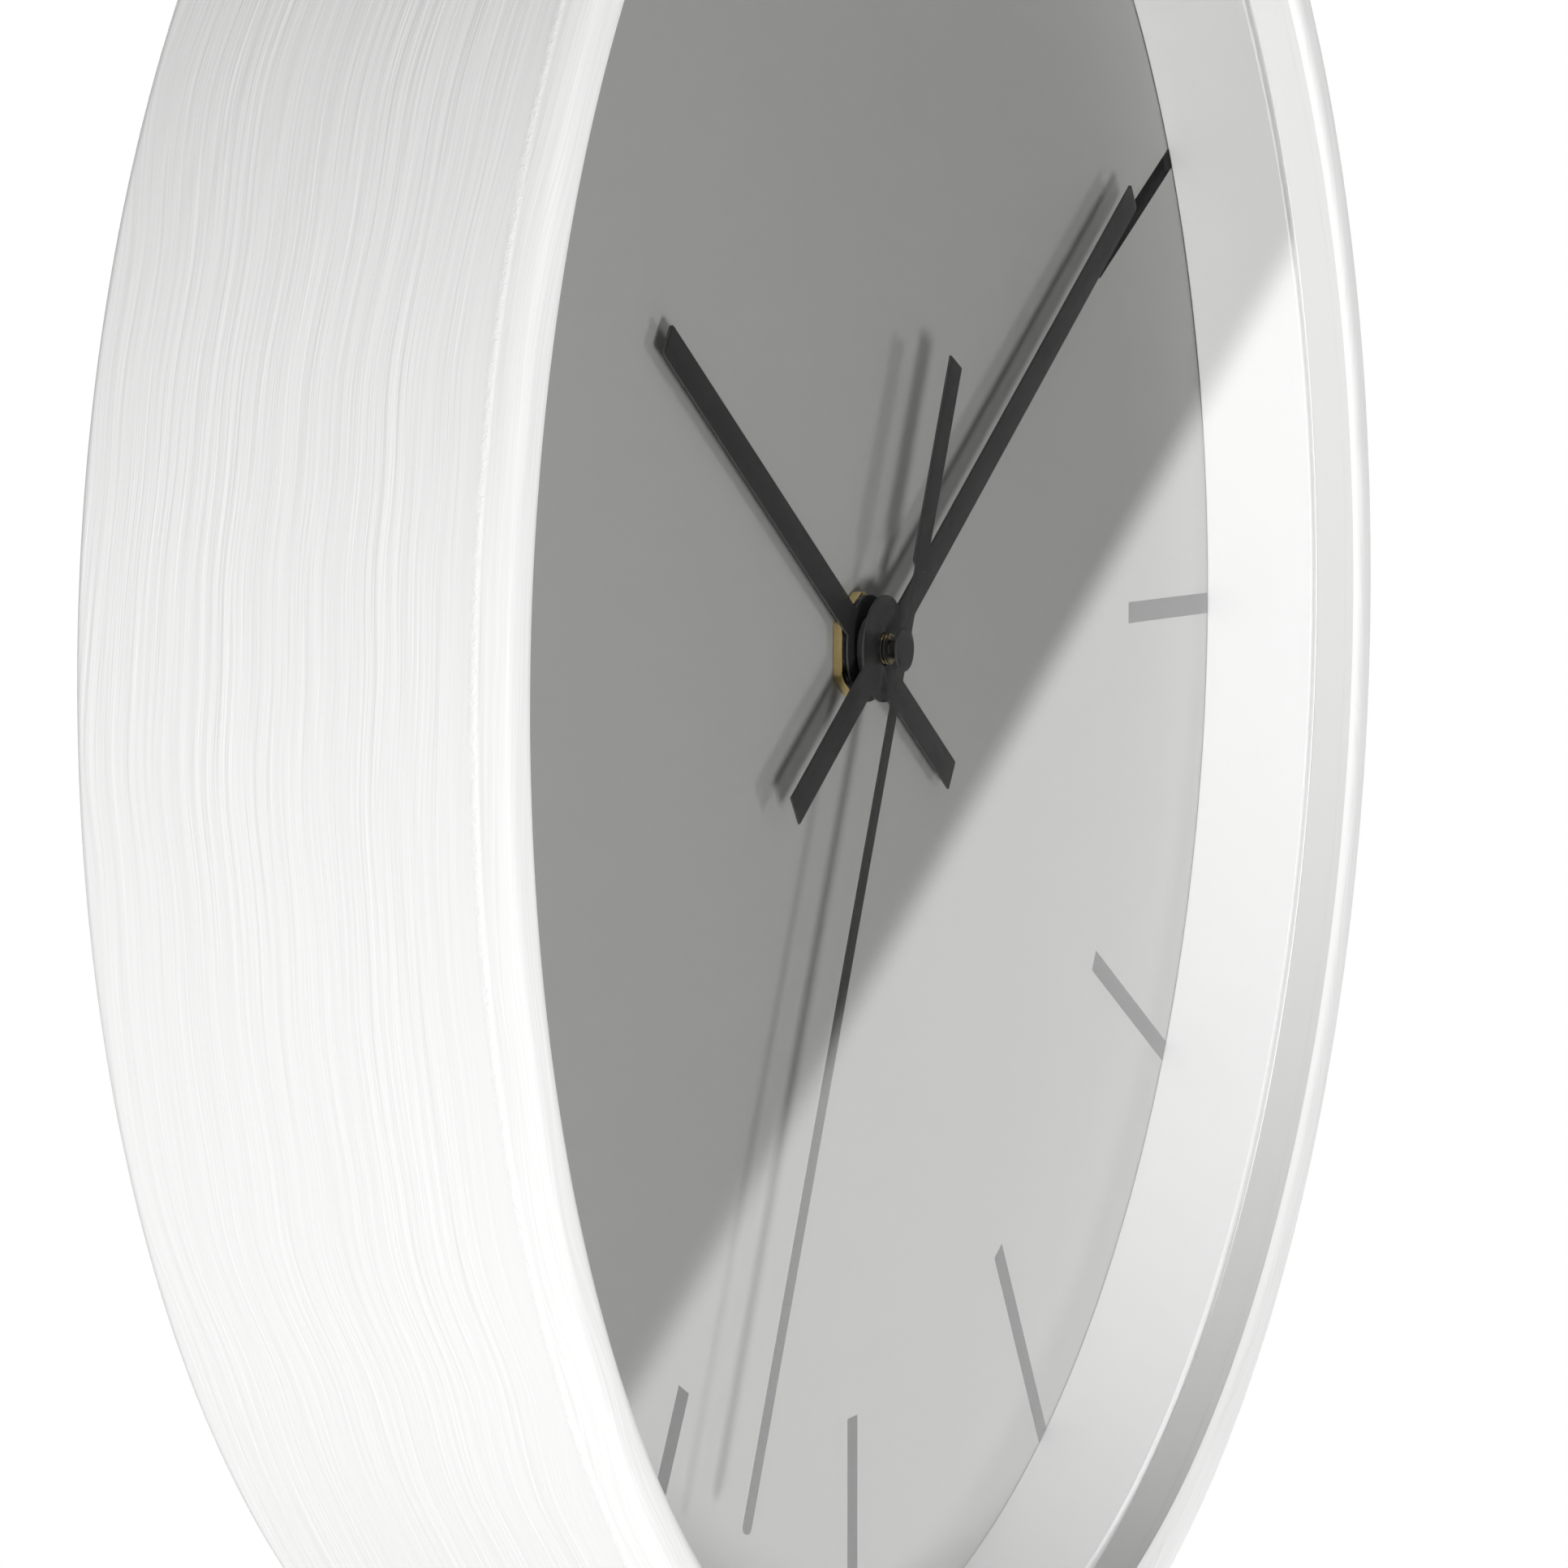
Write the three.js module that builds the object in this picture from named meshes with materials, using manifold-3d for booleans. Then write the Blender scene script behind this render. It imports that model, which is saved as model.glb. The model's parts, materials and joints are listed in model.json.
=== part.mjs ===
// A round wall clock: a painted wood ring holds a plexiglass lens, a spacer ring, a printed
// dial and a backing board, all loaded from behind. A quartz movement hangs on the board.
// Millimetres. +X is right and +Z is up for a person facing the clock, +Y points into the
// wall, and the hands turn about the Y axis. The origin is the centre of the clock's box.

import * as THREE from 'three';
import * as BufferGeometryUtils from 'three/addons/utils/BufferGeometryUtils.js';
import Module from 'manifold-3d';

const wasm = await Module();
wasm.setup();

// ---- driving dimensions ----

const FRAME_RADIUS = 127;
const FRAME_DEPTH = 43.8;
const OPENING_RADIUS = 119.3;
const REBATE_RADIUS = 121.5;
// The rounded nose starts at a crease on each wall: its width across the face, and its depth.
const OUTER_NOSE = { width: 3.7, depth: 2.3 };
const INNER_NOSE = { width: 2.2, depth: 0.95 };

const FRONT_Y = -FRAME_DEPTH / 2;
const BACK_Y = FRAME_DEPTH / 2;
const DIAL_Y = FRONT_Y + 23.2;

const SEAT_GAP = 0.1;
const THIN_GAP = 0.05;
const CUT_GAP = 0.3;
const LOADED_RADIUS = REBATE_RADIUS - 0.3;
const LENS_FRONT_Y = DIAL_Y - 17.1;
const LENS_THICKNESS = 2;
const SPACER_INNER_RADIUS = 118.9;
const DIAL_THICKNESS = 0.6;
const BOARD_THICKNESS = 2.5;
const BOARD_HOLE_RADIUS = 4.3;
const BACK_CHAMFER = 0.6;
const BOARD_BACK_Y = DIAL_Y + DIAL_THICKNESS + BOARD_THICKNESS;

const CLIP_COUNT = 4;
const CLIP_WIDTH = 10;
const CLIP_THICKNESS = 0.6;
const CLIP_TIP_RADIUS = 123.6;
const CLIP_HEEL_RADIUS = 110;
const CLIP_TAPER = 4;
const CLIP_Y = BOARD_BACK_Y + CUT_GAP;

const HOUR_ANGLE = 303.8;
const MINUTE_ANGLE = 55.9;
const SECONDS_ANGLE = 204.6;
const HAND_THICKNESS = 0.3;
const HAND_WIDTH = 3.7;
const HAND_TAIL = 29.4;
const HOUR_LENGTH = 62.4;
const MINUTE_LENGTH = 95.7;
const HAND_DISC_RADIUS = 6.1;
const HAND_TIP_ROUND = 0.5;
const HOUR_BOSS_RADIUS = 3.8;
const SECONDS_LENGTH = 101.7;
const SECONDS_WIDTH = 1.8;
const SECONDS_TAIL = 35.7;
const SECONDS_TAIL_WIDTH = 3.5;
const SECONDS_NECK = 10.2;
const SECONDS_DISC_RADIUS = 2.53;
const SECONDS_TIP_ROUND = 0.8;
const SECONDS_TUBE_RADIUS = 1.05;

// Front faces of the stack on the shaft, measured from the dial face towards the viewer.
const NUT_HEIGHT = 1.2;
const NUT_ACROSS_FLATS = 11.6;
const COLLAR_FRONT = 1.75;
const HOUR_FRONT = 2.05;
const HOUR_BOSS_FRONT = 2.95;
const MINUTE_FRONT = 4.0;
const MINUTE_SHAFT_FRONT = 4.7;
const SECONDS_FRONT = 6.45;

const BUSHING_RADIUS = 3.9;
const BUSHING_BORE = 2.75;
const BUSHING_FLANGE = { radius: 5.1, backY: DIAL_Y + 6.15 };
const NUT_CORNER_CUT = 0.5;
const HOUR_TUBE_RADIUS = 2.5;
const HOUR_TUBE_BORE = 1.95;
const MINUTE_SHAFT_RADIUS = 1.75;
const MINUTE_SHAFT_BORE = 0.9;
const SECONDS_SHAFT_RADIUS = 0.7;
const SHAFT_SEAT = 0.15;

const HANGER_THICKNESS = 0.8;
const HANGER_WIDTH = 22;
const GASKET_THICKNESS = 0.6;
const GASKET_RADIUS = 9;
const CASE_SIZE = 56;
const CASE_WALL = 1.2;
const COVER_THICKNESS = 1.2;
const CASE_CORNER = 3;
const CASE_REAR_Y = DIAL_Y + 20.3;
const TRAIN_REAR_Y = DIAL_Y + 18.4;

const HANGER_Y = BOARD_BACK_Y + SEAT_GAP;
const GASKET_Y = HANGER_Y + HANGER_THICKNESS;
const COVER_Y = GASKET_Y + GASKET_THICKNESS;
const CASE_FRONT_Y = COVER_Y + COVER_THICKNESS + CUT_GAP;

const BATTERY_RADIUS = 7.1;
const BATTERY_BODY = 49.2;
const BATTERY_NUB = 1.3;
const BATTERY_NUB_RADIUS = 2.75;
const BATTERY_Z = -19.2;
const BATTERY_Y = CASE_REAR_Y - 0.3 - BATTERY_RADIUS;
const BAY_TOP_Z = -11.6;

const RING_SEGMENTS = 72;
const SHAFT_SEGMENTS = 24;

// Every gear is a whole number of teeth on a module that fixes its size.
const MOTION_MODULE = 0.5;
const CENTRE_MODULE = 0.3;
const THIRD_MODULE = 0.2833;
const SECONDS_MODULE = 0.25;
const ROTOR_MODULE = 0.2;
const TEETH = {
  cannon: 10,
  motionWheel: 30,
  motionPinion: 8,
  hourWheel: 32,
  settingPinion: 12,
  secondsPinion: 8,
  thirdWheel: 64,
  thirdPinion: 8,
  centreWheel: 60,
  secondsWheel: 60,
  intermediatePinion: 10,
  intermediateWheel: 60,
  rotorPinion: 12,
};

// ---- small helpers ----

const radians = THREE.MathUtils.degToRad;

// A solid of revolution about the Y axis. Each point is [radius, y], listed anticlockwise.
function turned(points, segments = SHAFT_SEGMENTS) {
  const profile = points.map(([radius, y]) => new THREE.Vector2(radius, y));
  if (points[0][0] > 0) {
    profile.push(profile[0].clone());
  }
  return new THREE.LatheGeometry(profile, segments);
}

// A plain ring, or a plain disc when its bore is zero, between two heights.
function ring(radius, bore, frontY, backY, segments = SHAFT_SEGMENTS) {
  return turned([[bore, frontY], [radius, frontY], [radius, backY], [bore, backY]], segments);
}

// A flat plate: the outline is drawn in X and Z, and its front face lies at frontY.
function plate(outline, frontY, thickness) {
  const geometry = new THREE.ExtrudeGeometry(outline, {
    depth: thickness,
    bevelEnabled: false,
    curveSegments: 8,
  });
  geometry.rotateX(Math.PI / 2);
  geometry.translate(0, frontY + thickness, 0);
  return geometry;
}

function block(x0, x1, y0, y1, z0, z1) {
  const geometry = new THREE.BoxGeometry(x1 - x0, y1 - y0, z1 - z0);
  geometry.translate((x0 + x1) / 2, (y0 + y1) / 2, (z0 + z1) / 2);
  return geometry;
}

function roundedOutline(x0, x1, z0, z1, radius) {
  const shape = new THREE.Shape();
  shape.moveTo(x0 + radius, z0);
  shape.lineTo(x1 - radius, z0);
  shape.absarc(x1 - radius, z0 + radius, radius, -Math.PI / 2, 0);
  shape.lineTo(x1, z1 - radius);
  shape.absarc(x1 - radius, z1 - radius, radius, 0, Math.PI / 2);
  shape.lineTo(x0 + radius, z1);
  shape.absarc(x0 + radius, z1 - radius, radius, Math.PI / 2, Math.PI);
  shape.lineTo(x0, z0 + radius);
  shape.absarc(x0 + radius, z0 + radius, radius, Math.PI, 1.5 * Math.PI);
  return shape;
}

function solidOf(geometry) {
  const bare = geometry.clone();
  bare.deleteAttribute('normal');
  bare.deleteAttribute('uv');
  const merged = BufferGeometryUtils.mergeVertices(bare, 1e-4);
  return new wasm.Manifold(new wasm.Mesh({
    numProp: 3,
    vertProperties: new Float32Array(merged.attributes.position.array),
    triVerts: new Uint32Array(merged.index.array),
  }));
}

function geometryOf(solid) {
  const mesh = solid.getMesh();
  const geometry = new THREE.BufferGeometry();
  geometry.setAttribute('position', new THREE.BufferAttribute(mesh.vertProperties, 3));
  geometry.setIndex(new THREE.BufferAttribute(mesh.triVerts, 1));
  return geometry;
}

function join(...geometries) {
  return geometryOf(geometries.map(solidOf).reduce((whole, part) => whole.add(part)));
}

function cut(geometry, ...tools) {
  return geometryOf(tools.map(solidOf).reduce((whole, tool) => whole.subtract(tool), solidOf(geometry)));
}

function at(geometry, x, z) {
  return geometry.translate(x, 0, z);
}

// ---- materials ----

function finish(color, roughness, metalness = 0) {
  return new THREE.MeshStandardMaterial({ color, roughness, metalness });
}

const FINISH = {
  paintedWood: finish(0xe6e6e4, 0.55),
  whitePlastic: finish(0xeaeae8, 0.5),
  plexiglass: finish(0xf2f6f6, 0.05),
  printedCard: finish(0x939390, 0.8),
  hardboard: finish(0x8a6b4a, 0.85),
  blackHand: finish(0x333333, 0.6, 0.4),
  blackGloss: finish(0x0c0c0c, 0.15),
  brass: finish(0xb29658, 0.3, 1),
  steel: finish(0xb8bac0, 0.35, 1),
  blackPlastic: finish(0x1b1c1e, 0.5),
  gearPlastic: finish(0xe8e4d8, 0.5),
  rubber: finish(0x151515, 0.9),
  copper: finish(0xb06a3a, 0.35, 1),
  boardGreen: finish(0x2f6b45, 0.5),
  magnet: finish(0x55565a, 0.4, 0.8),
  batteryLabel: finish(0x3a4a58, 0.35),
};

const clock = new THREE.Group();

function add(name, geometry, material, parent = clock) {
  const mesh = new THREE.Mesh(geometry, material);
  mesh.name = name;
  parent.add(mesh);
  return mesh;
}

// ---- gears ----

const ADDENDUM = 0.75;
const DEDENDUM = 1.05;
const TOOTH_WIDTHS = { root: 0.6, tip: 0.22 };

function pitchRadius(teeth, module) {
  return (teeth * module) / 2;
}

// The outline of a spur gear whose first tooth points along the phase angle.
function gearOutline(teeth, module, phase) {
  const pitch = (2 * Math.PI) / teeth;
  const rootRadius = pitchRadius(teeth, module) - DEDENDUM * module;
  const tipRadius = pitchRadius(teeth, module) + ADDENDUM * module;
  const corners = [
    [rootRadius, -TOOTH_WIDTHS.root / 2],
    [tipRadius, -TOOTH_WIDTHS.tip / 2],
    [tipRadius, TOOTH_WIDTHS.tip / 2],
    [rootRadius, TOOTH_WIDTHS.root / 2],
  ];
  const points = [];
  for (let tooth = 0; tooth < teeth; tooth += 1) {
    for (const [radius, side] of corners) {
      const angle = phase + (tooth + side) * pitch;
      points.push(new THREE.Vector2(radius * Math.cos(angle), radius * Math.sin(angle)));
    }
  }
  return new THREE.Shape(points);
}

function gear(teeth, module, phase, frontY, thickness, bore = 0) {
  const outline = gearOutline(teeth, module, phase);
  if (bore > 0) {
    outline.holes.push(new THREE.Path().absarc(0, 0, bore, 0, 2 * Math.PI, true));
  }
  return plate(outline, frontY, thickness);
}

// The phase that lets a driven gear mesh with its driver, which lies in the opposite direction.
function meshedPhase(driverTeeth, driverPhase, direction, drivenTeeth) {
  const driverOffset = (direction - driverPhase) / ((2 * Math.PI) / driverTeeth);
  return direction + Math.PI - (0.5 - driverOffset) * ((2 * Math.PI) / drivenTeeth);
}

function polar(distance, degrees, from = { x: 0, z: 0 }) {
  return {
    x: from.x + distance * Math.cos(radians(degrees)),
    z: from.z + distance * Math.sin(radians(degrees)),
  };
}

function centreDistance(teethA, teethB, module) {
  return pitchRadius(teethA, module) + pitchRadius(teethB, module);
}

const MOTION_DIRECTION = 150;
const SETTING_DIRECTION = 100;
const THIRD_DIRECTION = 60;
const INTERMEDIATE_DIRECTION = -20;
const ROTOR_DIRECTION = 10;

const motionAxis = polar(
  centreDistance(TEETH.cannon, TEETH.motionWheel, MOTION_MODULE), MOTION_DIRECTION);
const settingAxis = polar(
  centreDistance(TEETH.motionWheel, TEETH.settingPinion, MOTION_MODULE), SETTING_DIRECTION, motionAxis);
const thirdAxis = polar(
  centreDistance(TEETH.thirdPinion, TEETH.centreWheel, CENTRE_MODULE), THIRD_DIRECTION);
const intermediateAxis = polar(
  centreDistance(TEETH.secondsWheel, TEETH.intermediatePinion, SECONDS_MODULE), INTERMEDIATE_DIRECTION);
const rotorAxis = polar(
  centreDistance(TEETH.intermediateWheel, TEETH.rotorPinion, ROTOR_MODULE),
  ROTOR_DIRECTION, intermediateAxis);

// Each layer of the train as [front, thickness], measured back from the dial face.
const LAYER = {
  hourWheel: [6.3, 0.7],
  motionPinion: [6.2, 1.2],
  cannon: [7.4, 1.2],
  motionWheel: [7.6, 0.8],
  settingPinion: [7.5, 1.0],
  thirdPinion: [8.9, 1.1],
  centreWheel: [9.0, 0.7],
  bridge: [10.2, 0.8],
  secondsPinion: [11.3, 1.1],
  thirdWheel: [11.5, 0.6],
  intermediatePinion: [12.6, 1.2],
  secondsWheel: [12.9, 0.6],
  intermediateWheel: [14.2, 0.6],
  rotorPinion: [14.0, 1.1],
};

function layer(name) {
  const [front, thickness] = LAYER[name];
  return { front: DIAL_Y + front, back: DIAL_Y + front + thickness, thickness };
}

function gearIn(layerName, teeth, module, phase, bore = 0) {
  const { front, thickness } = layer(layerName);
  return gear(teeth, module, phase, front, thickness, bore);
}

const PIVOT_RADIUS = 0.55;
const PIVOT_BOSS_RADIUS = 1.5;
const PIVOT_BOSS_BORE = 0.75;
const PIVOT_BOSS_HEIGHT = 1.3;
const PIVOT_END_Y = TRAIN_REAR_Y - CASE_WALL - 0.3;

// ---- frame, lens, dial and board ----

const NOSE_STEPS = 5;

// Half of the nose, from its crease on a wall round to the flat of the face. The arc ends square
// to the face, so the crease's width and depth fix its radius.
function noseArc(wallRadius, side, { width, depth }) {
  const start = Math.PI / 2 - 2 * Math.atan(depth / width);
  const radius = width / Math.cos(start);
  const points = [];
  for (let step = 0; step <= NOSE_STEPS; step += 1) {
    const angle = start + ((Math.PI / 2 - start) * step) / NOSE_STEPS;
    points.push([
      wallRadius + side * (radius * Math.cos(angle) - width),
      FRONT_Y + radius - radius * Math.sin(angle),
    ]);
  }
  return points;
}

// A pocket in the rebate for one clip's tip.
function clipSlit(degrees) {
  const slit = block(
    -CLIP_WIDTH / 2 - CUT_GAP, CLIP_WIDTH / 2 + CUT_GAP,
    CLIP_Y - CUT_GAP, CLIP_Y + CLIP_THICKNESS + CUT_GAP,
    REBATE_RADIUS - CLIP_TAPER, CLIP_TIP_RADIUS + CUT_GAP);
  return slit.rotateY(radians(degrees));
}

const CLIP_ANGLES = Array.from({ length: CLIP_COUNT }, (_, index) => 45 + (index * 360) / CLIP_COUNT);

function frameRing() {
  const outline = [
    ...noseArc(OPENING_RADIUS, -1, INNER_NOSE),
    ...noseArc(FRAME_RADIUS, 1, OUTER_NOSE).reverse(),
    [FRAME_RADIUS, BACK_Y - BACK_CHAMFER],
    [FRAME_RADIUS - BACK_CHAMFER, BACK_Y],
    [REBATE_RADIUS, BACK_Y],
    [REBATE_RADIUS, LENS_FRONT_Y - SEAT_GAP],
    [OPENING_RADIUS, LENS_FRONT_Y - SEAT_GAP],
  ];
  return cut(turned(outline, RING_SEGMENTS), ...CLIP_ANGLES.map(clipSlit));
}

// A flexible framer's point: a thin steel tongue pushed into the wood behind the board.
function retainingClip() {
  const tongue = new THREE.Shape();
  tongue.moveTo(-CLIP_WIDTH / 2, CLIP_HEEL_RADIUS + 1);
  tongue.lineTo(-CLIP_WIDTH / 2 + 1, CLIP_HEEL_RADIUS);
  tongue.lineTo(CLIP_WIDTH / 2 - 1, CLIP_HEEL_RADIUS);
  tongue.lineTo(CLIP_WIDTH / 2, CLIP_HEEL_RADIUS + 1);
  tongue.lineTo(CLIP_WIDTH / 2, CLIP_TIP_RADIUS - CLIP_TAPER);
  tongue.lineTo(1, CLIP_TIP_RADIUS);
  tongue.lineTo(-1, CLIP_TIP_RADIUS);
  tongue.lineTo(-CLIP_WIDTH / 2, CLIP_TIP_RADIUS - CLIP_TAPER);
  return plate(tongue, CLIP_Y, CLIP_THICKNESS);
}

add('frame_ring', frameRing(), FINISH.paintedWood);

add('plexiglass', ring(
  LOADED_RADIUS, 0, LENS_FRONT_Y, LENS_FRONT_Y + LENS_THICKNESS, RING_SEGMENTS), FINISH.plexiglass);

add('spacer_ring', ring(
  LOADED_RADIUS, SPACER_INNER_RADIUS, LENS_FRONT_Y + LENS_THICKNESS + SEAT_GAP, DIAL_Y - SEAT_GAP,
  RING_SEGMENTS), FINISH.whitePlastic);

add('dial_sheet', ring(
  LOADED_RADIUS, BOARD_HOLE_RADIUS, DIAL_Y, DIAL_Y + DIAL_THICKNESS - SEAT_GAP,
  RING_SEGMENTS), FINISH.printedCard);

add('backing_board', ring(
  LOADED_RADIUS, BOARD_HOLE_RADIUS, DIAL_Y + DIAL_THICKNESS, BOARD_BACK_Y,
  RING_SEGMENTS), FINISH.hardboard);

CLIP_ANGLES.forEach((degrees, index) => {
  const clip = add(`retaining_clip_${index + 1}`, retainingClip(), FINISH.steel);
  clip.rotation.y = radians(degrees);
});

// ---- hanger and shaft fixings ----

const HANGER_BOTTOM_Z = -9;
const HANGER_STEP_Z = 31.5;
const HANGER_TOP_Z = 50;
const HANGER_REAR_Y = DIAL_Y + 18.9;
const KEYHOLE_Z = 38;
const KEYHOLE_RADIUS = 4.2;
const KEYHOLE_SLOT_RADIUS = 2.2;
const KEYHOLE_SLOT_TOP_Z = 45;

// A stepped steel strap, seen from the side: up the board, back over the case, up to the hook.
function hangerProfile() {
  const front = HANGER_Y;
  const rear = HANGER_REAR_Y;
  const shape = new THREE.Shape();
  shape.moveTo(front, HANGER_BOTTOM_Z);
  shape.lineTo(front + HANGER_THICKNESS, HANGER_BOTTOM_Z);
  shape.lineTo(front + HANGER_THICKNESS, HANGER_STEP_Z);
  shape.lineTo(rear, HANGER_STEP_Z);
  shape.lineTo(rear, HANGER_TOP_Z);
  shape.lineTo(rear - HANGER_THICKNESS, HANGER_TOP_Z);
  shape.lineTo(rear - HANGER_THICKNESS, HANGER_STEP_Z + HANGER_THICKNESS);
  shape.lineTo(front, HANGER_STEP_Z + HANGER_THICKNESS);
  return shape;
}

function keyholeOutline() {
  const mouth = Math.acos(KEYHOLE_SLOT_RADIUS / KEYHOLE_RADIUS);
  const shape = new THREE.Shape();
  shape.absarc(0, KEYHOLE_Z, KEYHOLE_RADIUS, Math.PI - mouth, 2 * Math.PI + mouth);
  shape.absarc(0, KEYHOLE_SLOT_TOP_Z, KEYHOLE_SLOT_RADIUS, 0, Math.PI);
  return shape;
}

function hangerPlate() {
  const strap = new THREE.ExtrudeGeometry(hangerProfile(), { depth: HANGER_WIDTH, bevelEnabled: false });
  // The profile's two directions become Y and Z, and its depth runs along X.
  strap.applyMatrix4(new THREE.Matrix4().makeBasis(
    new THREE.Vector3(0, 1, 0), new THREE.Vector3(0, 0, 1), new THREE.Vector3(1, 0, 0)));
  strap.translate(-HANGER_WIDTH / 2, 0, 0);
  const shaftHole = ring(BUSHING_RADIUS + CUT_GAP, 0, HANGER_Y - 1, HANGER_Y + HANGER_THICKNESS + 1);
  return cut(strap, shaftHole, plate(keyholeOutline(), HANGER_REAR_Y - 2, 4));
}

function shaftNut() {
  const corner = NUT_ACROSS_FLATS / Math.sqrt(3);
  const outline = new THREE.Shape();
  for (let side = 0; side < 6; side += 1) {
    const from = radians(30 + side * 60);
    const to = radians(90 + side * 60);
    const start = new THREE.Vector2(corner * Math.cos(from), corner * Math.sin(from));
    const end = new THREE.Vector2(corner * Math.cos(to), corner * Math.sin(to));
    const inset = NUT_CORNER_CUT / start.distanceTo(end);
    const first = start.clone().lerp(end, inset);
    const last = start.clone().lerp(end, 1 - inset);
    if (side === 0) {
      outline.moveTo(first.x, first.y);
    } else {
      outline.lineTo(first.x, first.y);
    }
    outline.lineTo(last.x, last.y);
  }
  outline.holes.push(new THREE.Path().absarc(0, 0, BUSHING_RADIUS + SHAFT_SEAT, 0, 2 * Math.PI, true));
  return plate(outline, DIAL_Y - NUT_HEIGHT - THIN_GAP, NUT_HEIGHT);
}

add('hanger_plate', hangerPlate(), FINISH.steel);

add('rubber_gasket', ring(
  GASKET_RADIUS, BUSHING_RADIUS + SHAFT_SEAT, GASKET_Y + THIN_GAP, COVER_Y - THIN_GAP), FINISH.rubber);

add('shaft_nut', shaftNut(), FINISH.brass);

// The threaded bushing has a flange behind the case's front cover.
add('shaft_bushing', turned([
  [BUSHING_BORE, DIAL_Y - NUT_HEIGHT + SEAT_GAP],
  [BUSHING_RADIUS, DIAL_Y - NUT_HEIGHT + SEAT_GAP],
  [BUSHING_RADIUS, COVER_Y + COVER_THICKNESS + THIN_GAP],
  [BUSHING_FLANGE.radius, COVER_Y + COVER_THICKNESS + THIN_GAP],
  [BUSHING_FLANGE.radius, BUSHING_FLANGE.backY],
  [BUSHING_BORE, BUSHING_FLANGE.backY],
]), FINISH.brass);

// ---- hands ----

// Both corners of a hand's tip, from its right side round to its left.
function roundTip(shape, half, length, radius) {
  shape.absarc(half - radius, length - radius, radius, 0, Math.PI / 2);
  shape.absarc(radius - half, length - radius, radius, Math.PI / 2, Math.PI);
}

// A straight bar with a rounded tip and a square tail, pointing at twelve.
function barOutline(length, width, tail) {
  const half = width / 2;
  const shape = new THREE.Shape();
  shape.moveTo(-half, -tail);
  shape.lineTo(half, -tail);
  shape.lineTo(half, length - HAND_TIP_ROUND);
  roundTip(shape, half, length, HAND_TIP_ROUND);
  return shape;
}

function discHand(length, frontY, bore, bossRadius, bossFrontY) {
  const backY = frontY + HAND_THICKNESS;
  const pieces = [
    plate(barOutline(length, HAND_WIDTH, HAND_TAIL), frontY, HAND_THICKNESS),
    ring(HAND_DISC_RADIUS, 0, frontY, backY, 48),
  ];
  if (bossFrontY < frontY) {
    pieces.push(ring(bossRadius, 0, bossFrontY, backY, 36));
  }
  return cut(join(...pieces), ring(bore, 0, bossFrontY - 1, backY + 1));
}

function secondsOutline() {
  const half = SECONDS_WIDTH / 2;
  const tailHalf = SECONDS_TAIL_WIDTH / 2;
  const shape = new THREE.Shape();
  shape.moveTo(-tailHalf, -SECONDS_TAIL);
  shape.lineTo(tailHalf, -SECONDS_TAIL);
  shape.lineTo(tailHalf, -SECONDS_NECK);
  shape.lineTo(half, -SECONDS_NECK + 0.4);
  shape.lineTo(half, SECONDS_LENGTH - SECONDS_TIP_ROUND);
  roundTip(shape, half, SECONDS_LENGTH, SECONDS_TIP_ROUND);
  shape.lineTo(-half, -SECONDS_NECK + 0.4);
  shape.lineTo(-tailHalf, -SECONDS_NECK);
  return shape;
}

// The seconds hand carries its own tube, which pushes over the seconds shaft.
function secondsHand() {
  const front = DIAL_Y - SECONDS_FRONT;
  const back = front + HAND_THICKNESS;
  const tubeBack = DIAL_Y - MINUTE_SHAFT_FRONT - 0.1;
  const body = join(
    plate(secondsOutline(), front, HAND_THICKNESS),
    ring(SECONDS_DISC_RADIUS, 0, front, back, 32),
    ring(SECONDS_TUBE_RADIUS, 0, front, tubeBack),
  );
  return cut(body, ring(SECONDS_SHAFT_RADIUS + SHAFT_SEAT, 0, front + 0.4, tubeBack + 1));
}

const hourGroup = new THREE.Group();
hourGroup.rotation.y = radians(HOUR_ANGLE);
clock.add(hourGroup);
add('hour_hand', discHand(
  HOUR_LENGTH, DIAL_Y - HOUR_FRONT, HOUR_TUBE_RADIUS + SHAFT_SEAT, HOUR_BOSS_RADIUS,
  DIAL_Y - HOUR_BOSS_FRONT), FINISH.blackHand, hourGroup);
add('hour_collar', turned([
  [HOUR_TUBE_RADIUS + SHAFT_SEAT, DIAL_Y - COLLAR_FRONT + 0.05],
  [HAND_DISC_RADIUS - 0.2, DIAL_Y - COLLAR_FRONT + 0.05],
  [HAND_DISC_RADIUS - 0.05, DIAL_Y - COLLAR_FRONT + 0.15],
  [HAND_DISC_RADIUS - 0.05, DIAL_Y - NUT_HEIGHT - 0.2],
  [HOUR_TUBE_RADIUS + SHAFT_SEAT, DIAL_Y - NUT_HEIGHT - 0.2],
], 36), FINISH.blackGloss, hourGroup);

const minuteGroup = new THREE.Group();
minuteGroup.rotation.y = radians(MINUTE_ANGLE);
clock.add(minuteGroup);
add('minute_hand', discHand(
  MINUTE_LENGTH, DIAL_Y - MINUTE_FRONT, MINUTE_SHAFT_RADIUS + SHAFT_SEAT, 0, DIAL_Y - MINUTE_FRONT),
FINISH.blackHand, minuteGroup);

const secondsGroup = new THREE.Group();
secondsGroup.rotation.y = radians(SECONDS_ANGLE);
clock.add(secondsGroup);
add('seconds_hand', secondsHand(), FINISH.blackHand, secondsGroup);

// ---- movement case ----

function caseOutline() {
  const edge = CASE_SIZE / 2;
  return roundedOutline(-edge, edge, -edge, edge, CASE_CORNER);
}

function pivotBoss(axis) {
  const wallY = TRAIN_REAR_Y - CASE_WALL;
  return at(ring(PIVOT_BOSS_RADIUS, 0, wallY - PIVOT_BOSS_HEIGHT, wallY + 0.2, 16), axis.x, axis.z);
}

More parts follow.
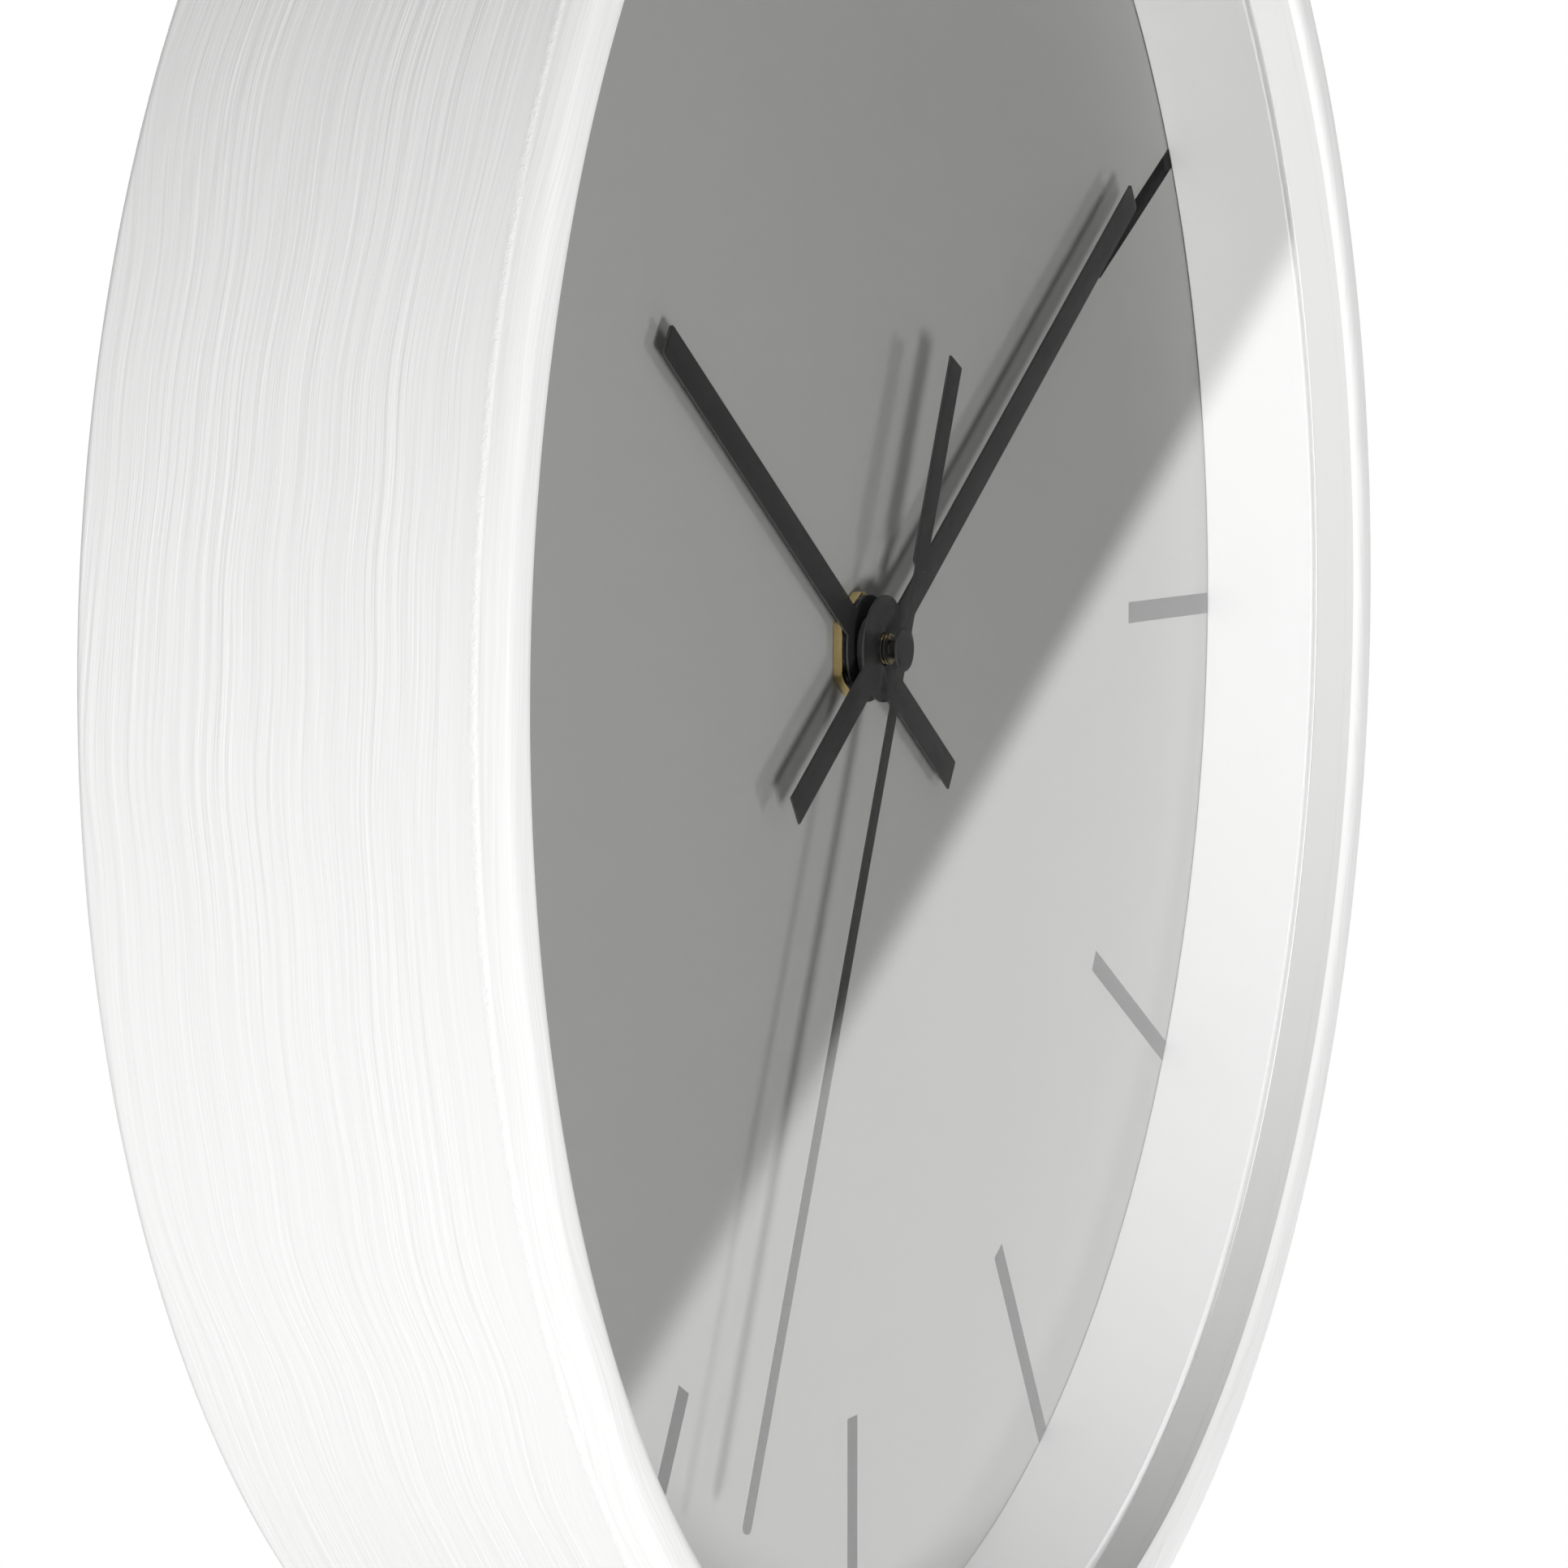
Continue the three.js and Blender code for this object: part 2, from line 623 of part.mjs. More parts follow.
function pivotSocket(axis) {
  const wallY = TRAIN_REAR_Y - CASE_WALL;
  return at(ring(PIVOT_BOSS_BORE, 0, wallY - PIVOT_BOSS_HEIGHT - 1, wallY, 16), axis.x, axis.z);
}

const KNOB_RADIUS = 4.6;
const SETTING_SHAFT_RADIUS = 1.2;

function movementCase() {
  const inner = CASE_SIZE / 2 - CASE_WALL;
  const outer = CASE_SIZE / 2;
  const pivots = [{ x: 0, z: 0 }, thirdAxis, intermediateAxis, rotorAxis];
  const shell = cut(
    plate(caseOutline(), CASE_FRONT_Y, CASE_REAR_Y - CASE_FRONT_Y),
    block(-inner, inner, CASE_FRONT_Y - 1, TRAIN_REAR_Y - CASE_WALL, BAY_TOP_Z + CASE_WALL, inner),
    block(-inner, inner, CASE_FRONT_Y - 1, CASE_REAR_Y + 1, -inner, BAY_TOP_Z),
    block(-outer - 1, outer + 1, TRAIN_REAR_Y, CASE_REAR_Y + 1, BAY_TOP_Z + CASE_WALL, outer + 1),
  );
  const knobHole = at(
    ring(SETTING_SHAFT_RADIUS + CUT_GAP, 0, TRAIN_REAR_Y - 3, TRAIN_REAR_Y + 1),
    settingAxis.x, settingAxis.z);
  return cut(join(shell, ...pivots.map(pivotBoss)), knobHole, ...pivots.map(pivotSocket));
}

function movementCover() {
  return cut(
    plate(caseOutline(), COVER_Y, COVER_THICKNESS),
    ring(BUSHING_RADIUS + SHAFT_SEAT, 0, COVER_Y - 1, COVER_Y + COVER_THICKNESS + 1),
  );
}

const BRIDGE = { x0: -12, x1: 18, z0: -9.5, z1: 21, corner: 2 };

// The bridge carries the arbors between the motion work and the going train.
function trainBridge() {
  const { front, back, thickness } = layer('bridge');
  const { x0, x1, z0, z1, corner } = BRIDGE;
  const hole = (axis, radius) => at(ring(radius, 0, front - 1, back + 1, 16), axis.x, axis.z);
  return cut(
    plate(roundedOutline(x0, x1, z0, z1, corner), front, thickness),
    hole({ x: 0, z: 0 }, MINUTE_SHAFT_RADIUS + SHAFT_SEAT),
    ...[thirdAxis, intermediateAxis, rotorAxis].map((axis) => hole(axis, PIVOT_BOSS_BORE)),
    hole(settingAxis, SETTING_SHAFT_RADIUS + CUT_GAP),
  );
}

add('movement_cover', movementCover(), FINISH.blackPlastic);
add('movement_case', movementCase(), FINISH.blackPlastic);
add('train_bridge', trainBridge(), FINISH.gearPlastic);

// ---- wheels ----

function arbor(radius, frontY, backY, bore = 0) {
  return ring(radius, bore, frontY, backY, 16);
}

function pinionRoot(teeth, module) {
  return pitchRadius(teeth, module) - DEDENDUM * module;
}

const toMotion = radians(MOTION_DIRECTION);
const toSetting = radians(SETTING_DIRECTION);
const toThird = radians(THIRD_DIRECTION);
const toIntermediate = radians(INTERMEDIATE_DIRECTION);
const toRotor = radians(ROTOR_DIRECTION);
const motionWheelPhase = meshedPhase(TEETH.cannon, 0, toMotion, TEETH.motionWheel);

// Hour wheel: its tube runs forward through the bushing to the hour hand.
add('hour_wheel', join(
  gearIn('hourWheel', TEETH.hourWheel, MOTION_MODULE, 0, HOUR_TUBE_BORE),
  ring(HOUR_TUBE_RADIUS, HOUR_TUBE_BORE, DIAL_Y - HOUR_BOSS_FRONT + 0.1, layer('hourWheel').back),
), FINISH.gearPlastic);

// Minute shaft: a hollow shaft with the cannon pinion, which drives the motion work.
add('minute_shaft', join(
  gearIn('cannon', TEETH.cannon, MOTION_MODULE, 0, MINUTE_SHAFT_BORE),
  ring(MINUTE_SHAFT_RADIUS, MINUTE_SHAFT_BORE, DIAL_Y - MINUTE_SHAFT_FRONT, layer('bridge').back - 0.1),
), FINISH.brass);

// Centre wheel: it grips the minute shaft with friction, and slips when the time is set.
add('centre_wheel', gearIn(
  'centreWheel', TEETH.centreWheel, CENTRE_MODULE, 0, MINUTE_SHAFT_RADIUS + SHAFT_SEAT,
), FINISH.gearPlastic);

add('seconds_wheel', join(
  gearIn('secondsWheel', TEETH.secondsWheel, SECONDS_MODULE, 0),
  gearIn('secondsPinion', TEETH.secondsPinion, THIRD_MODULE, 0),
  arbor(SECONDS_SHAFT_RADIUS, DIAL_Y - SECONDS_FRONT + 0.6, layer('secondsWheel').back + 1),
  arbor(PIVOT_RADIUS, layer('secondsWheel').front, PIVOT_END_Y),
), FINISH.gearPlastic);

add('motion_wheel', at(join(
  gearIn('motionWheel', TEETH.motionWheel, MOTION_MODULE, motionWheelPhase),
  gearIn('motionPinion', TEETH.motionPinion, MOTION_MODULE,
    meshedPhase(TEETH.hourWheel, 0, toMotion, TEETH.motionPinion)),
  arbor(
    pinionRoot(TEETH.motionPinion, MOTION_MODULE),
    layer('motionPinion').front, layer('motionWheel').back),
  arbor(PIVOT_RADIUS, layer('motionPinion').front, layer('bridge').front - 0.2),
), motionAxis.x, motionAxis.z), FINISH.gearPlastic);

add('third_wheel', at(join(
  gearIn('thirdWheel', TEETH.thirdWheel, THIRD_MODULE,
    meshedPhase(TEETH.secondsPinion, 0, toThird, TEETH.thirdWheel)),
  gearIn('thirdPinion', TEETH.thirdPinion, CENTRE_MODULE,
    meshedPhase(TEETH.centreWheel, 0, toThird, TEETH.thirdPinion)),
  arbor(PIVOT_RADIUS, layer('thirdPinion').front, PIVOT_END_Y),
), thirdAxis.x, thirdAxis.z), FINISH.gearPlastic);

add('intermediate_wheel', at(join(
  gearIn('intermediateWheel', TEETH.intermediateWheel, ROTOR_MODULE, toRotor),
  gearIn('intermediatePinion', TEETH.intermediatePinion, SECONDS_MODULE,
    meshedPhase(TEETH.secondsWheel, 0, toIntermediate, TEETH.intermediatePinion)),
  arbor(PIVOT_RADIUS, layer('bridge').front + 0.1, PIVOT_END_Y),
), intermediateAxis.x, intermediateAxis.z), FINISH.gearPlastic);

const ROTOR_MAGNET_RADIUS = 2.5;
const ROTOR_MAGNET_FRONT = DIAL_Y + 11.5;
const ROTOR_MAGNET_BACK = DIAL_Y + 13.7;

add('rotor_pinion', at(join(
  gearIn('rotorPinion', TEETH.rotorPinion, ROTOR_MODULE,
    meshedPhase(TEETH.intermediateWheel, toRotor, toRotor, TEETH.rotorPinion)),
  arbor(PIVOT_RADIUS, layer('bridge').front + 0.1, PIVOT_END_Y),
), rotorAxis.x, rotorAxis.z), FINISH.gearPlastic);

add('rotor_magnet', at(ring(
  ROTOR_MAGNET_RADIUS, PIVOT_RADIUS + SHAFT_SEAT, ROTOR_MAGNET_FRONT, ROTOR_MAGNET_BACK,
), rotorAxis.x, rotorAxis.z), FINISH.magnet);

// Setting shaft: its pinion drives the motion wheel, and its knob stands behind the case.
add('setting_shaft', at(join(
  gearIn('settingPinion', TEETH.settingPinion, MOTION_MODULE,
    meshedPhase(TEETH.motionWheel, motionWheelPhase, toSetting, TEETH.settingPinion)),
  arbor(SETTING_SHAFT_RADIUS, layer('settingPinion').front, CASE_REAR_Y - 0.5),
), settingAxis.x, settingAxis.z), FINISH.blackPlastic);

const KNOB_FLUTES = 16;
const FLUTE_DEPTH = 0.35;

function knobOutline() {
  const points = [];
  for (let flute = 0; flute < KNOB_FLUTES; flute += 1) {
    const valley = KNOB_RADIUS - FLUTE_DEPTH;
    for (const [radius, side] of [[valley, -0.3], [KNOB_RADIUS, -0.15], [KNOB_RADIUS, 0.15], [valley, 0.3]]) {
      const angle = ((flute + side) * 2 * Math.PI) / KNOB_FLUTES;
      points.push(new THREE.Vector2(radius * Math.cos(angle), radius * Math.sin(angle)));
    }
  }
  const shape = new THREE.Shape(points);
  shape.holes.push(new THREE.Path().absarc(0, 0, SETTING_SHAFT_RADIUS + SHAFT_SEAT, 0, 2 * Math.PI, true));
  return shape;
}

add('setting_knob', at(
  plate(knobOutline(), TRAIN_REAR_Y + 0.3, CASE_REAR_Y - TRAIN_REAR_Y - 0.4),
  settingAxis.x, settingAxis.z), FINISH.blackPlastic);

// ---- stepping motor ----

const STATOR_FRONT = DIAL_Y + 12.1;
const STATOR_THICKNESS = 0.9;
const STATOR_LIMB = { x0: rotorAxis.x - 3.9, x1: rotorAxis.x + 3.6, z0: -8.6, z1: 16 };
const STATOR_ARM = 3;
const STATOR_ARM_X = 24.6;
const COIL_X = 22.9;
const CORE_Y = STATOR_FRONT + STATOR_THICKNESS + 0.1;
const CORE_THICKNESS = 0.8;
const CORE_HALF_WIDTH = 1.2;
const COIL_Y = CORE_Y + CORE_THICKNESS / 2;
const COIL_BOTTOM_Z = -5.2;
const COIL_TOP_Z = 12.6;
const FLANGE_THICKNESS = 0.8;
const SPOOL = { bore: 1.5, tube: 1.8, winding: 2.7, flange: 2.9 };

function stator() {
  const { x0, x1, z0, z1 } = STATOR_LIMB;
  const outline = new THREE.Shape();
  outline.moveTo(x0, z0);
  outline.lineTo(STATOR_ARM_X, z0);
  outline.lineTo(STATOR_ARM_X, z0 + STATOR_ARM);
  outline.lineTo(x1, z0 + STATOR_ARM);
  outline.lineTo(x1, z1 - STATOR_ARM);
  outline.lineTo(STATOR_ARM_X, z1 - STATOR_ARM);
  outline.lineTo(STATOR_ARM_X, z1);
  outline.lineTo(x0, z1);
  outline.holes.push(new THREE.Path().absarc(
    rotorAxis.x, rotorAxis.z, ROTOR_MAGNET_RADIUS + 0.35, 0, 2 * Math.PI, true));
  return plate(outline, STATOR_FRONT, STATOR_THICKNESS);
}

// A spool turned about its own Z axis, then set beside the rotor.
function onCoilAxis(geometry) {
  geometry.rotateX(Math.PI / 2);
  geometry.translate(COIL_X, COIL_Y, (COIL_BOTTOM_Z + COIL_TOP_Z) / 2);
  return geometry;
}

function coilBobbin() {
  const half = (COIL_TOP_Z - COIL_BOTTOM_Z) / 2;
  const { bore, tube, flange } = SPOOL;
  return onCoilAxis(turned([
    [bore, -half], [flange, -half], [flange, FLANGE_THICKNESS - half], [tube, FLANGE_THICKNESS - half],
    [tube, half - FLANGE_THICKNESS], [flange, half - FLANGE_THICKNESS], [flange, half], [bore, half],
  ]));
}

function coilWinding() {
  const half = (COIL_TOP_Z - COIL_BOTTOM_Z) / 2 - FLANGE_THICKNESS - SHAFT_SEAT;
  return onCoilAxis(ring(SPOOL.winding, SPOOL.tube + SHAFT_SEAT, -half, half));
}

add('stator', stator(), FINISH.steel);
add('coil_core', block(
  COIL_X - CORE_HALF_WIDTH, COIL_X + CORE_HALF_WIDTH, CORE_Y, CORE_Y + CORE_THICKNESS,
  STATOR_LIMB.z0 + 0.3, STATOR_LIMB.z1 - 0.3,
), FINISH.steel);
add('coil_bobbin', coilBobbin(), FINISH.whitePlastic);
add('coil_winding', coilWinding(), FINISH.copper);

// ---- electronics and battery ----

const BOARD_PLATE = { x0: -26.2, x1: -17.8, z0: -9.6, z1: 13, y0: DIAL_Y + 12, thickness: 0.8 };

add('circuit_board', cut(
  block(BOARD_PLATE.x0, BOARD_PLATE.x1, BOARD_PLATE.y0, BOARD_PLATE.y0 + BOARD_PLATE.thickness,
    BOARD_PLATE.z0, BOARD_PLATE.z1),
  at(ring(1, 0, BOARD_PLATE.y0 - 1, BOARD_PLATE.y0 + 2, 16), -22, 11),
), FINISH.boardGreen);

// The chip is a dome of black resin on the board.
add('clock_chip', at(turned([
  [0, BOARD_PLATE.y0 - 1.3], [1.1, BOARD_PLATE.y0 - 1.15], [2, BOARD_PLATE.y0 - 0.75],
  [2.6, BOARD_PLATE.y0 - 0.05], [0, BOARD_PLATE.y0 - 0.05],
]), -22, -4), FINISH.blackGloss);

add('quartz_crystal', ring(1, 0, -3.2, 3.2, 16).rotateX(Math.PI / 2)
  .translate(-22, BOARD_PLATE.y0 - 1.1, 4.5), FINISH.steel);

const CONTACT_THICKNESS = 0.4;

// A flat leaf against the positive nub.
function positiveContact() {
  const inner = CASE_SIZE / 2 - CASE_WALL;
  return block(inner - 0.1 - CONTACT_THICKNESS, inner - 0.1, BATTERY_Y - 4.5, BATTERY_Y + 4.5,
    BATTERY_Z - 4.5, BATTERY_Z + 4.5);
}

// A folded spring leaf against the negative end, seen from above.
function negativeContact() {
  const wall = -(CASE_SIZE / 2 - CASE_WALL) + 0.1;
  const reach = 1.5;
  const front = BATTERY_Y - 5;
  const back = BATTERY_Y + 5;
  const leaf = new THREE.Shape();
  leaf.moveTo(wall, front);
  leaf.lineTo(wall + CONTACT_THICKNESS, front);
  leaf.lineTo(wall + CONTACT_THICKNESS, back - CONTACT_THICKNESS);
  leaf.lineTo(wall + reach, BATTERY_Y);
  leaf.lineTo(wall + reach + 0.3, BATTERY_Y);
  leaf.lineTo(wall + CONTACT_THICKNESS, back);
  leaf.lineTo(wall, back);
  const geometry = new THREE.ExtrudeGeometry(leaf, { depth: 8, bevelEnabled: false });
  geometry.translate(0, 0, BATTERY_Z - 4);
  return geometry;
}

function battery() {
  const length = BATTERY_BODY + BATTERY_NUB;
  const geometry = turned([
    [0, 0], [BATTERY_RADIUS - 0.5, 0], [BATTERY_RADIUS, 0.5], [BATTERY_RADIUS, BATTERY_BODY - 0.6],
    [BATTERY_RADIUS - 0.6, BATTERY_BODY], [BATTERY_NUB_RADIUS, BATTERY_BODY],
    [BATTERY_NUB_RADIUS, length], [0, length],
  ], 36);
  geometry.rotateZ(-Math.PI / 2);
  geometry.translate(-length / 2 + 0.9, BATTERY_Y, BATTERY_Z);
  return geometry;
}

add('battery_contact_positive', positiveContact(), FINISH.steel);
add('battery_contact_negative', negativeContact(), FINISH.steel);
add('battery', battery(), FINISH.batteryLabel);

export default clock;
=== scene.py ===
"""Looks for a round wall clock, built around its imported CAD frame.

+X is right and +Z is up for a person facing the clock, and +Y points into the wall. The hands
turn about the Y axis. Named sizes are in millimetres, and Blender's own units are metres.
"""

import json
import math

import bmesh
import bpy
from mathutils import Matrix, Vector, noise


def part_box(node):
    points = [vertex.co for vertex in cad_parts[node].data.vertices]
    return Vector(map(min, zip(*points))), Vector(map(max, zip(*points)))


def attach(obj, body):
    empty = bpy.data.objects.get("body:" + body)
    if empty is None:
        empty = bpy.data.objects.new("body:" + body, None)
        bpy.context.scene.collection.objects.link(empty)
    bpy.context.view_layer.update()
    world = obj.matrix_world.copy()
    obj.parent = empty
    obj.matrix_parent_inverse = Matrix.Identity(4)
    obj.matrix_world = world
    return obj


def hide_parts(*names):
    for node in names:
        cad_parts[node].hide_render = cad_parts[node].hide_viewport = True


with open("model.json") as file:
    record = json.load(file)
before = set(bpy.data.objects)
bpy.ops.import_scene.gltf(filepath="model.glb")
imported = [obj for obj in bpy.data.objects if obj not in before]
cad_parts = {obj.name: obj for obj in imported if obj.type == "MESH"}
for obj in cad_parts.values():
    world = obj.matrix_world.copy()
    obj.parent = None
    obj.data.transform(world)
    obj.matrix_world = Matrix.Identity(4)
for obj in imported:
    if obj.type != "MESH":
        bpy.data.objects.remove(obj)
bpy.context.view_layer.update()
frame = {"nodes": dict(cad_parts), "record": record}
NODES = frame["nodes"]
MM = 0.001

# ---- places read from the frame ----


def low_mm(node):
    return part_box(node)[0] / MM


def high_mm(node):
    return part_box(node)[1] / MM


def centre_mm(node):
    return (low_mm(node) + high_mm(node)) / 2


FRAME_RADIUS = high_mm("frame_ring").x
FRONT_Y = low_mm("frame_ring").y
BACK_Y = high_mm("frame_ring").y
DIAL_Y = low_mm("dial_sheet").y
DIAL_RADIUS = high_mm("dial_sheet").x
LENS_FRONT_Y = low_mm("plexiglass").y
LENS_BACK_Y = high_mm("plexiglass").y

OPENING_RADIUS = 119.3
REBATE_RADIUS = 121.5
SPACER_INNER_RADIUS = 118.9
BOARD_HOLE_RADIUS = 4.3
OUTER_CREASE = 2.3  # how far behind the front face the outer wall meets the rounded nose

# ---- the camera, which comes first ----

CAMERA_PLACE = Vector((-494.6, -218.2, 30.8)) * MM
CAMERA_AZIMUTH = math.radians(-65.36)
CAMERA_ELEVATION = math.radians(4.90)
SENSOR_WIDTH = 36.0
FOCAL_LENGTH = 109.2


def add_camera():
    forward = Vector((
        -math.sin(CAMERA_AZIMUTH) * math.cos(CAMERA_ELEVATION),
        math.cos(CAMERA_AZIMUTH) * math.cos(CAMERA_ELEVATION),
        -math.sin(CAMERA_ELEVATION),
    ))
    data = bpy.data.cameras.new("camera")
    data.sensor_width = SENSOR_WIDTH
    data.lens = FOCAL_LENGTH
    data.clip_start, data.clip_end = 0.01, 100
    camera = bpy.data.objects.new("camera", data)
    camera.location = CAMERA_PLACE
    camera.rotation_mode = "QUATERNION"
    camera.rotation_quaternion = forward.to_track_quat("-Z", "Y")
    bpy.context.scene.collection.objects.link(camera)
    bpy.context.scene.camera = camera


add_camera()

# ---- material helpers ----


class Surface:
    """A Principled material and the few node shapes that every finish here is made of."""

    def __init__(self, name, **sockets):
        self.material = bpy.data.materials.new(name)
        self.material.use_nodes = True
        self.tree = self.material.node_tree
        self.shader = self.tree.nodes["Principled BSDF"]
        for socket, value in sockets.items():
            self.shader.inputs[socket.replace("_", " ")].default_value = value
        self.place = self.node("ShaderNodeTexCoord").outputs["Object"]

    def node(self, kind, **settings):
        made = self.tree.nodes.new(kind)
        for setting, value in settings.items():
            setattr(made, setting, value)
        return made

    def wire(self, output, socket):
        self.tree.links.new(output, socket)

    def feed(self, socket, value):
        if isinstance(value, bpy.types.NodeSocket):
            self.wire(value, socket)
        else:
            socket.default_value = value

    def maths(self, operation, *values):
        made = self.node("ShaderNodeMath", operation=operation)
        for socket, value in zip(made.inputs, values):
            self.feed(socket, value)
        return made.outputs[0]

    def scaled(self, factors, vector=None):
        made = self.node("ShaderNodeVectorMath", operation="MULTIPLY")
        self.feed(made.inputs[0], vector or self.place)
        made.inputs[1].default_value = factors
        return made.outputs[0]

    def axes(self, vector=None):
        """X, Y and Z of a vector, which is the place on the piece unless another is given."""
        apart = self.node("ShaderNodeSeparateXYZ")
        self.wire(vector or self.place, apart.inputs[0])
        return apart.outputs

    def radius(self, across, up):
        """How far a place is from the hands' axis."""
        return self.maths("SQRT", self.maths(
            "ADD", self.maths("POWER", across, 2.0), self.maths("POWER", up, 2.0)))

    def noise(self, scale, detail=3.0, roughness=0.5, stretch=(1, 1, 1), vector=None):
        """Noise from 0 to 1. Scale is in features per metre, and stretch multiplies it per axis."""
        made = self.node("ShaderNodeTexNoise")
        made.inputs["Scale"].default_value = scale
        made.inputs["Detail"].default_value = detail
        made.inputs["Roughness"].default_value = roughness
        self.wire(self.scaled(stretch, vector), made.inputs["Vector"])
        return made.outputs["Fac"]

    def ranged(self, value, from_low, from_high, to_low, to_high, smooth=False):
        made = self.node("ShaderNodeMapRange")
        if smooth:
            made.interpolation_type = "SMOOTHSTEP"
        for socket, number in zip(made.inputs, (value, from_low, from_high, to_low, to_high)):
            self.feed(socket, number)
        return made.outputs["Result"]

    def blend(self, factor, first, second):
        made = self.node("ShaderNodeMix", data_type="RGBA")
        self.feed(made.inputs["Factor"], factor)
        for socket, colour in (("A", first), ("B", second)):
            target = next(s for s in made.inputs if s.name == socket and s.type == "RGBA")
            self.feed(target, colour)
        return next(s for s in made.outputs if s.type == "RGBA")

    def colour(self, value):
        self.wire(value, self.shader.inputs["Base Color"])

    def rough(self, value):
        self.wire(value, self.shader.inputs["Roughness"])

    def bump(self, height, distance_mm, after=None):
        made = self.node("ShaderNodeBump")
        made.inputs["Strength"].default_value = 1.0
        made.inputs["Distance"].default_value = distance_mm * MM
        self.wire(height, made.inputs["Height"])
        if after is not None:
            self.wire(after, made.inputs["Normal"])
        self.wire(made.outputs["Normal"], self.shader.inputs["Normal"])
        return made.outputs["Normal"]


def grey(value):
    return (value, value, value, 1.0)


def tinted(colour, factor):
    return (*(min(1.0, channel * factor) for channel in colour), 1.0)


def mottled(name, colour, spread, roughness, rough_spread, grain, bump_mm,
            stretch=(1, 1, 1), **sockets):
    """A finish whose colour, gloss and surface vary with one grain size, in millimetres."""
    made = Surface(name, **sockets)
    fine = made.noise(1 / (grain * MM), detail=4.0, roughness=0.6, stretch=stretch)
    broad = made.noise(1 / (12 * grain * MM), detail=2.0, stretch=stretch)
    mixed = made.maths("MULTIPLY_ADD", fine, 0.6, made.maths("MULTIPLY", broad, 0.4))
    made.colour(made.blend(
        made.ranged(mixed, 0.3, 0.7, 0.0, 1.0),
        tinted(colour, 1 - spread), tinted(colour, 1 + spread)))
    made.rough(made.ranged(broad, 0.3, 0.7, roughness - rough_spread, roughness + rough_spread))
    made.bump(fine, bump_mm)
    return made.material


# ---- materials ----

PAINT = (0.905, 0.905, 0.900)
# How far behind the front face the brushed side wall starts, and how far its streaks grow in.
STREAKS_START, STREAKS_GROW = 2.6, 4.0
# The paint is thinnest on the nose from the opening out to these distances from the outer wall,
# where brush hairs show in its relief; the first distance also bounds the nose's painted shade.
NOSE_WEAR_AND_SHADE_END, NOSE_WEAR_START = 2.6, 1.0
CHIPPED_WIDTH = 0.75


